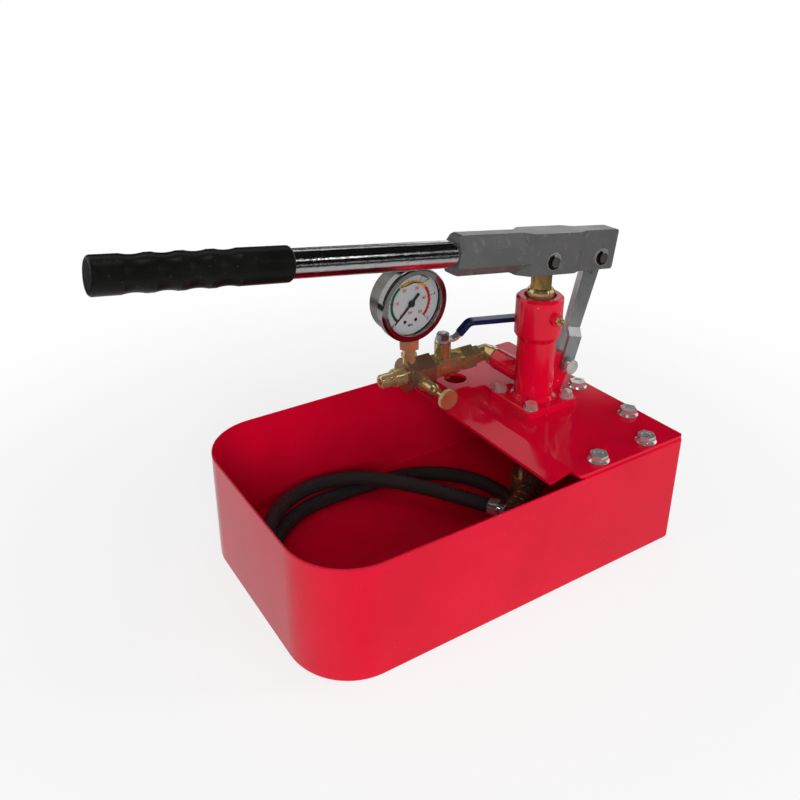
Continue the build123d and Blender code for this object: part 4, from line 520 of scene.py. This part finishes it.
dial_low, dial_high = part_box("gauge_dial")
dial_x = (dial_low.x + dial_high.x) / 2
dial_z = (dial_low.z + dial_high.z) / 2
print_rise = 0.00008
print_y = dial_low.y - print_rise
ink_rise = 0.00004
zero_angle = 225.0
scale_turn = 270.0
scale_end = 50


def dial_point(angle, radius, rise=0.0):
    """A point on the dial, with the angle in degrees from the dial's right."""
    turn = math.radians(angle)
    return (dial_x + radius * math.cos(turn), print_y - rise, dial_z + radius * math.sin(turn))


def reading_angle(reading):
    """The angle on the dial, in degrees from its right, where a reading is printed."""
    return zero_angle - scale_turn * reading / scale_end


def printed(name, rings, material):
    """A flat print on the dial from rows of inner and outer points."""
    points = []
    faces = []
    for row in rings:
        start = len(points)
        for inner, outer in row:
            points += [inner, outer]
        for step in range(len(row) - 1):
            first = start + 2 * step
            faces.append((first, first + 1, first + 3, first + 2))
    mesh = bpy.data.meshes.new(name)
    mesh.from_pydata(points, [], faces)
    mesh.materials.append(material)
    made = added(name, mesh)
    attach(made, "pump")


def ink(name, tone):
    """A printing ink: one colour, a tenth darker in patches, nearly matt."""
    darker = tuple(0.9 * part for part in tone)
    return coated(name, tone, darker, tone, rough=(0.4, 0.5), peel=0.00001, speck_share=0.01,
                  edge=0.0001, Specular_IOR_Level=0.1)


ink_red = ink("ink_red", (0.38, 0.006, 0.010))
ink_green = ink("ink_green", (0.004, 0.075, 0.030))
ink_yellow = ink("ink_yellow", (0.55, 0.28, 0.01))
green_end, yellow_end = 18.5, 34.5
band_inner, band_outer = 0.0186, 0.0213
band_steps = 24
for name, first, last, tone in (("green_band", 0.0, green_end, ink_green),
                                ("yellow_band", green_end, yellow_end, ink_yellow),
                                ("red_band", yellow_end, scale_end, ink_red)):
    row = []
    for step in range(band_steps + 1):
        angle = reading_angle(first + (last - first) * step / band_steps)
        row.append((dial_point(angle, band_inner), dial_point(angle, band_outer)))
    printed(name, [row], tone)

# Each scale mark's inner end, outer end and half width; the long ones stand at the printed numbers.
long_mark = (0.0180, 0.0242, 0.00030)
short_mark = (0.0200, 0.0222, 0.00022)
mark_step = 2
number_step = 10
ticks = []
for reading in range(0, scale_end + 1, mark_step):
    inner, outer, half = short_mark if reading % number_step else long_mark
    angle = reading_angle(reading)
    side = math.radians(angle + 90)
    shift = Vector((half * math.cos(side), 0, half * math.sin(side)))
    row = []
    for radius in (inner, outer):
        middle = Vector(dial_point(angle, radius, ink_rise))
        row.append((tuple(middle - shift), tuple(middle + shift)))
    ticks.append(row)
printed("scale_marks", ticks, ink_black)


def numeral(name, words, angle, radius, size, material):
    """One printed number, upright on the dial."""
    data = bpy.data.curves.new(name, "FONT")
    data.body = words
    data.size = size
    data.offset = stroke_swell
    data.align_x = "CENTER"
    data.align_y = "CENTER"
    made = added(name, data)
    made.location = dial_point(angle, radius, ink_rise)
    made.rotation_euler = (math.radians(90), 0, 0)
    data.materials.append(material)
    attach(made, "pump")


stroke_swell = 0.00010
red_radius, red_size = 0.0146, 0.0042
black_radius, black_size = 0.0262, 0.0036
for step in range(scale_end // number_step + 1):
    angle = reading_angle(number_step * step)
    numeral(f"red_number_{step}", str(number_step * step), angle, red_radius, red_size, ink_red)
    numeral(f"black_number_{step}", str(step), angle, black_radius, black_size, ink_black)
straight_down = 270.0
numeral("red_unit", "bar", straight_down, 0.0088, 0.0036, ink_red)
numeral("black_unit", "MPa", straight_down, 0.0212, 0.0032, ink_black)

# The dial's two screws are small domed black heads.
screw_reach, screw_drop = 0.0058, 0.0170
screw_radius, screw_height = 0.0017, 0.0009
rings = 5
around = 20
for side in (-1, 1):
    screw_x = dial_x + side * screw_reach
    screw_z = dial_z - screw_drop
    points = [(screw_x, print_y - screw_height, screw_z)]
    faces = []
    for ring in range(1, rings + 1):
        share = ring / rings
        for step in range(around):
            turn = 2 * math.pi * step / around
            points.append((screw_x + screw_radius * share * math.cos(turn),
                           print_y - screw_height * (1 - share**3),
                           screw_z + screw_radius * share * math.sin(turn)))
    for step in range(around):
        after = (step + 1) % around
        faces.append((0, 1 + after, 1 + step))
        for ring in range(rings - 1):
            low = 1 + ring * around
            high = low + around
            faces.append((low + step, low + after, high + after, high + step))
    mesh = bpy.data.meshes.new("dial_screw")
    mesh.from_pydata(points, [], faces)
    mesh.materials.append(ink_black)
    mesh.shade_smooth()
    screw = added("dial_screw_right" if side > 0 else "dial_screw_left", mesh)
    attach(screw, "pump")

# Bubble: the level of the clear liquid that fills the gauge, a thin wavy rim just under the dial's
# top, drawn as a slim dark glass ring because the liquid's edge bends the light away.
bubble_glass, tree, shader = fresh_material("bubble_glass")
shader.inputs["Base Color"].default_value = (0.02, 0.02, 0.02, 1.0)
shader.inputs["Roughness"].default_value = 0.08
shader.inputs["Specular IOR Level"].default_value = 0.9
bubble_steps = 72
rim_steps = 8
bubble_radius = 0.0272
bubble_start, bubble_end = 132.0, 48.0
bubble_rise = 0.0022
level_sag, level_wave = 0.0016, 0.0011
rim_thick, rim_wave = 0.00042, 0.00022
toward_lens = Vector((0, dial_low.y - bubble_rise - print_y, 0))
bubble_line = []
for step in range(bubble_steps):
    share = step / bubble_steps
    if share < 0.5:
        angle = bubble_start - 2 * share * (bubble_start - bubble_end)
        bubble_line.append(Vector(dial_point(angle, bubble_radius)) + toward_lens)
    else:
        sweep = 2 * share - 1
        start = Vector(dial_point(bubble_end, bubble_radius))
        end = Vector(dial_point(bubble_start, bubble_radius))
        sag = level_sag * math.sin(math.pi * sweep) + level_wave * math.sin(3.3 * math.pi * sweep)
        bubble_line.append(start.lerp(end, sweep) + toward_lens - Vector((0, 0, sag)))
points, faces = [], []
for step, middle in enumerate(bubble_line):
    ahead = (bubble_line[(step + 1) % bubble_steps] - bubble_line[step - 1]).normalized()
    across = ahead.cross(Vector((0, 1, 0))).normalized()
    thick = rim_thick + rim_wave * math.sin(2 * math.pi * 3 * step / bubble_steps)
    for part in range(rim_steps):
        turn = 2 * math.pi * part / rim_steps
        points.append(middle + thick * (math.cos(turn) * across + math.sin(turn) * Vector((0, 1, 0))))
for step in range(bubble_steps):
    after = (step + 1) % bubble_steps
    for part in range(rim_steps):
        beside = (part + 1) % rim_steps
        faces.append((step * rim_steps + part, step * rim_steps + beside,
                      after * rim_steps + beside, after * rim_steps + part))
mesh = bpy.data.meshes.new("liquid_bubble")
mesh.from_pydata(points, [], faces)
mesh.materials.append(bubble_glass)
mesh.shade_smooth()
bubble = added("liquid_bubble", mesh)
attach(bubble, "pump")

# Hose: black rubber under a tight textile braid, lying in the tank in two loose turns. It is swept
# along one smooth line, and the braid's crossing strands run round it in both directions.
hose_route = [
    (0.0618, -0.0479, 0.0469), (0.0170, -0.0670, 0.0370), (-0.0290, -0.0920, 0.0180),
    (-0.0980, -0.0900, 0.0085), (-0.1520, -0.0370, 0.0085), (-0.1520, 0.0370, 0.0085),
    (-0.1010, 0.0880, 0.0085), (-0.0300, 0.0895, 0.0085), (0.0385, 0.0830, 0.0085),
    (0.0850, 0.0365, 0.0085), (0.0850, -0.0290, 0.0085), (0.0385, -0.0750, 0.0085),
    (-0.0340, -0.0730, 0.0105), (-0.1020, -0.0745, 0.0220), (-0.1500, -0.0270, 0.0230),
    (-0.1500, 0.0485, 0.0230), (-0.1000, 0.0970, 0.0230), (-0.0330, 0.0940, 0.0230),
    (0.0100, 0.0450, 0.0235), (0.0320, 0.0060, 0.0250), (0.0500, -0.0285, 0.0262)]
hose_radius = 0.007
line = bpy.data.curves.new("hose_line", "CURVE")
line.dimensions = "3D"
spline = line.splines.new("NURBS")
spline.points.add(len(hose_route) - 1)
for place, point in zip(spline.points, hose_route):
    place.co = (*point, 1.0)
spline.order_u = 3
spline.use_endpoint_u = True
spline.resolution_u = 24
line_object = added("hose_line", line)
bpy.context.view_layer.update()
line_mesh = bpy.data.meshes.new_from_object(line_object)
hose_middle = [vertex.co.copy() for vertex in line_mesh.vertices]
bpy.data.objects.remove(line_object)
hose_middle = [point for place, point in enumerate(hose_middle)
               if place == 0 or (point - hose_middle[place - 1]).length > 1e-6]

around = 40
turned = Vector((0, 0, 1))
travelled = 0.0
points, faces, distances = [], [], []
for place, middle in enumerate(hose_middle):
    ahead = hose_middle[min(place + 1, len(hose_middle) - 1)] - hose_middle[max(place - 1, 0)]
    ahead.normalize()
    turned = (turned - ahead * turned.dot(ahead)).normalized()
    across = ahead.cross(turned)
    if place:
        travelled += (middle - hose_middle[place - 1]).length
    for step in range(around):
        turn = 2 * math.pi * step / around
        points.append(middle + hose_radius * (math.cos(turn) * turned + math.sin(turn) * across))
        distances.append(travelled)
for place in range(len(hose_middle) - 1):
    for step in range(around):
        after = (step + 1) % around
        faces.append((place * around + step, place * around + after,
                      (place + 1) * around + after, (place + 1) * around + step))
faces.append(tuple(reversed(range(around))))
last = (len(hose_middle) - 1) * around
faces.append(tuple(range(last, last + around)))
hose_mesh = bpy.data.meshes.new("hose")
hose_mesh.from_pydata(points, [], faces)
hose_mesh.shade_smooth()
layout = hose_mesh.uv_layers.new(name="along_and_around")
side_count = around * (len(hose_middle) - 1)
layout_scale = 20.0
for polygon in hose_mesh.polygons:
    last_strip = polygon.index < side_count and polygon.index % around == around - 1
    for loop in polygon.loop_indices:
        vertex = hose_mesh.loops[loop].vertex_index
        step = vertex % around
        turned_share = 1.0 if last_strip and step == 0 else step / around
        layout.data[loop].uv = (distances[vertex] * layout_scale, turned_share)
hose = added("hose", hose_mesh)

hose_braid, inlet, outlet = effect(
    "hose_braid", [("Strands", number, 16.0), ("Pitch share", number, 16.0)],
    [("Height", number), ("Strand sheen", number)])
wrap = node(hose_braid, "ShaderNodeUVMap", uv_map="along_and_around")
split = node(hose_braid, "ShaderNodeSeparateXYZ")
wire(hose_braid, wrap.outputs[0], split.inputs[0])
along = maths(hose_braid, "MULTIPLY", split.outputs[0], inlet.outputs["Pitch share"])
round_it = maths(hose_braid, "MULTIPLY", split.outputs[1], inlet.outputs["Strands"])
left = maths(hose_braid, "MULTIPLY", maths(hose_braid, "ADD", round_it, along), math.pi)
right = maths(hose_braid, "MULTIPLY", maths(hose_braid, "SUBTRACT", round_it, along), math.pi)
left_wave = maths(hose_braid, "SINE", left)
right_wave = maths(hose_braid, "SINE", right)
over = maths(hose_braid, "GREATER_THAN", maths(hose_braid, "MULTIPLY", left_wave, right_wave), 0.0)
strand_power, sheen_power = 0.6, 7.0
left_strand = maths(hose_braid, "POWER", maths(hose_braid, "ABSOLUTE", left_wave), strand_power)
right_strand = maths(hose_braid, "POWER", maths(hose_braid, "ABSOLUTE", right_wave), strand_power)
under = maths(hose_braid, "SUBTRACT", 1.0, over)
height = maths(hose_braid, "ADD", maths(hose_braid, "MULTIPLY", over, left_strand),
               maths(hose_braid, "MULTIPLY", under, right_strand))
# The strand tops, where the braid stands highest, mark where the yarn is coloured lighter as a painted
# sheen.
painted_sheen = maths(hose_braid, "POWER", height, sheen_power)
wire(hose_braid, height, outlet.inputs["Height"], painted_sheen, outlet.inputs["Strand sheen"])

hose_black, tree, shader = fresh_material("hose_black")
shader.inputs["Specular IOR Level"].default_value = 0.35
braid = placed(tree, hose_braid, Strands=18.0, Pitch_share=20.0)
marks = placed(tree, surface_marks, Grain_scale=1500.0, Patch_scale=30.0, Speck_scale=700.0,
               Speck_share=0.1)
relief = node(tree, "ShaderNodeBump", {"Strength": 1.0, "Distance": 0.0006})
# The yarn is coloured near black in the hollows of the braid, a painted shade, and light grey on the strand
# tops, a painted sheen; the grey specks are fluff.
yarn_and_sheen = blended(tree, braid.outputs["Strand sheen"], (0.0003, 0.0003, 0.0003, 1.0), (0.050, 0.051, 0.053, 1.0))
yarn_and_sheen = blended(tree, marks.outputs["Specks"], yarn_and_sheen, (0.10, 0.10, 0.10, 1.0))
wire(tree, yarn_and_sheen, shader.inputs["Base Color"],
     ranged(tree, marks.outputs["Patches"], 0.3, 0.7, 0.24, 0.36), shader.inputs["Roughness"],
     maths(tree, "ADD", braid.outputs["Height"], maths(tree, "MULTIPLY", marks.outputs["Grain"], 0.2)),
     relief.inputs["Height"], relief.outputs[0], shader.inputs["Normal"])
hose_mesh.materials.append(hose_black)
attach(hose, "pump")
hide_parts("hose_tube")

# Hose ends: a crimped, ringed ferrule and a swivel nut on each end, the raised pair in dark bronze
# with paler rubbed scuffs, the low pair in plain zinc plated steel.
fitting_bronze = metal("fitting_bronze", (0.30, 0.22, 0.13), (0.18, 0.13, 0.08), (0.50, 0.42, 0.28),
                       rough=(0.18, 0.30), lines=(1.0, 1.0, 1.0), line_scale=500.0,
                       relief_depth=0.00004, edge=0.0005, Metallic=0.8)
dress(fitting_bronze, "hose_ferrule_raised", "hose_nut_raised")
dress(zinc_bright, "hose_ferrule_low", "hose_nut_low", "hose_tails")
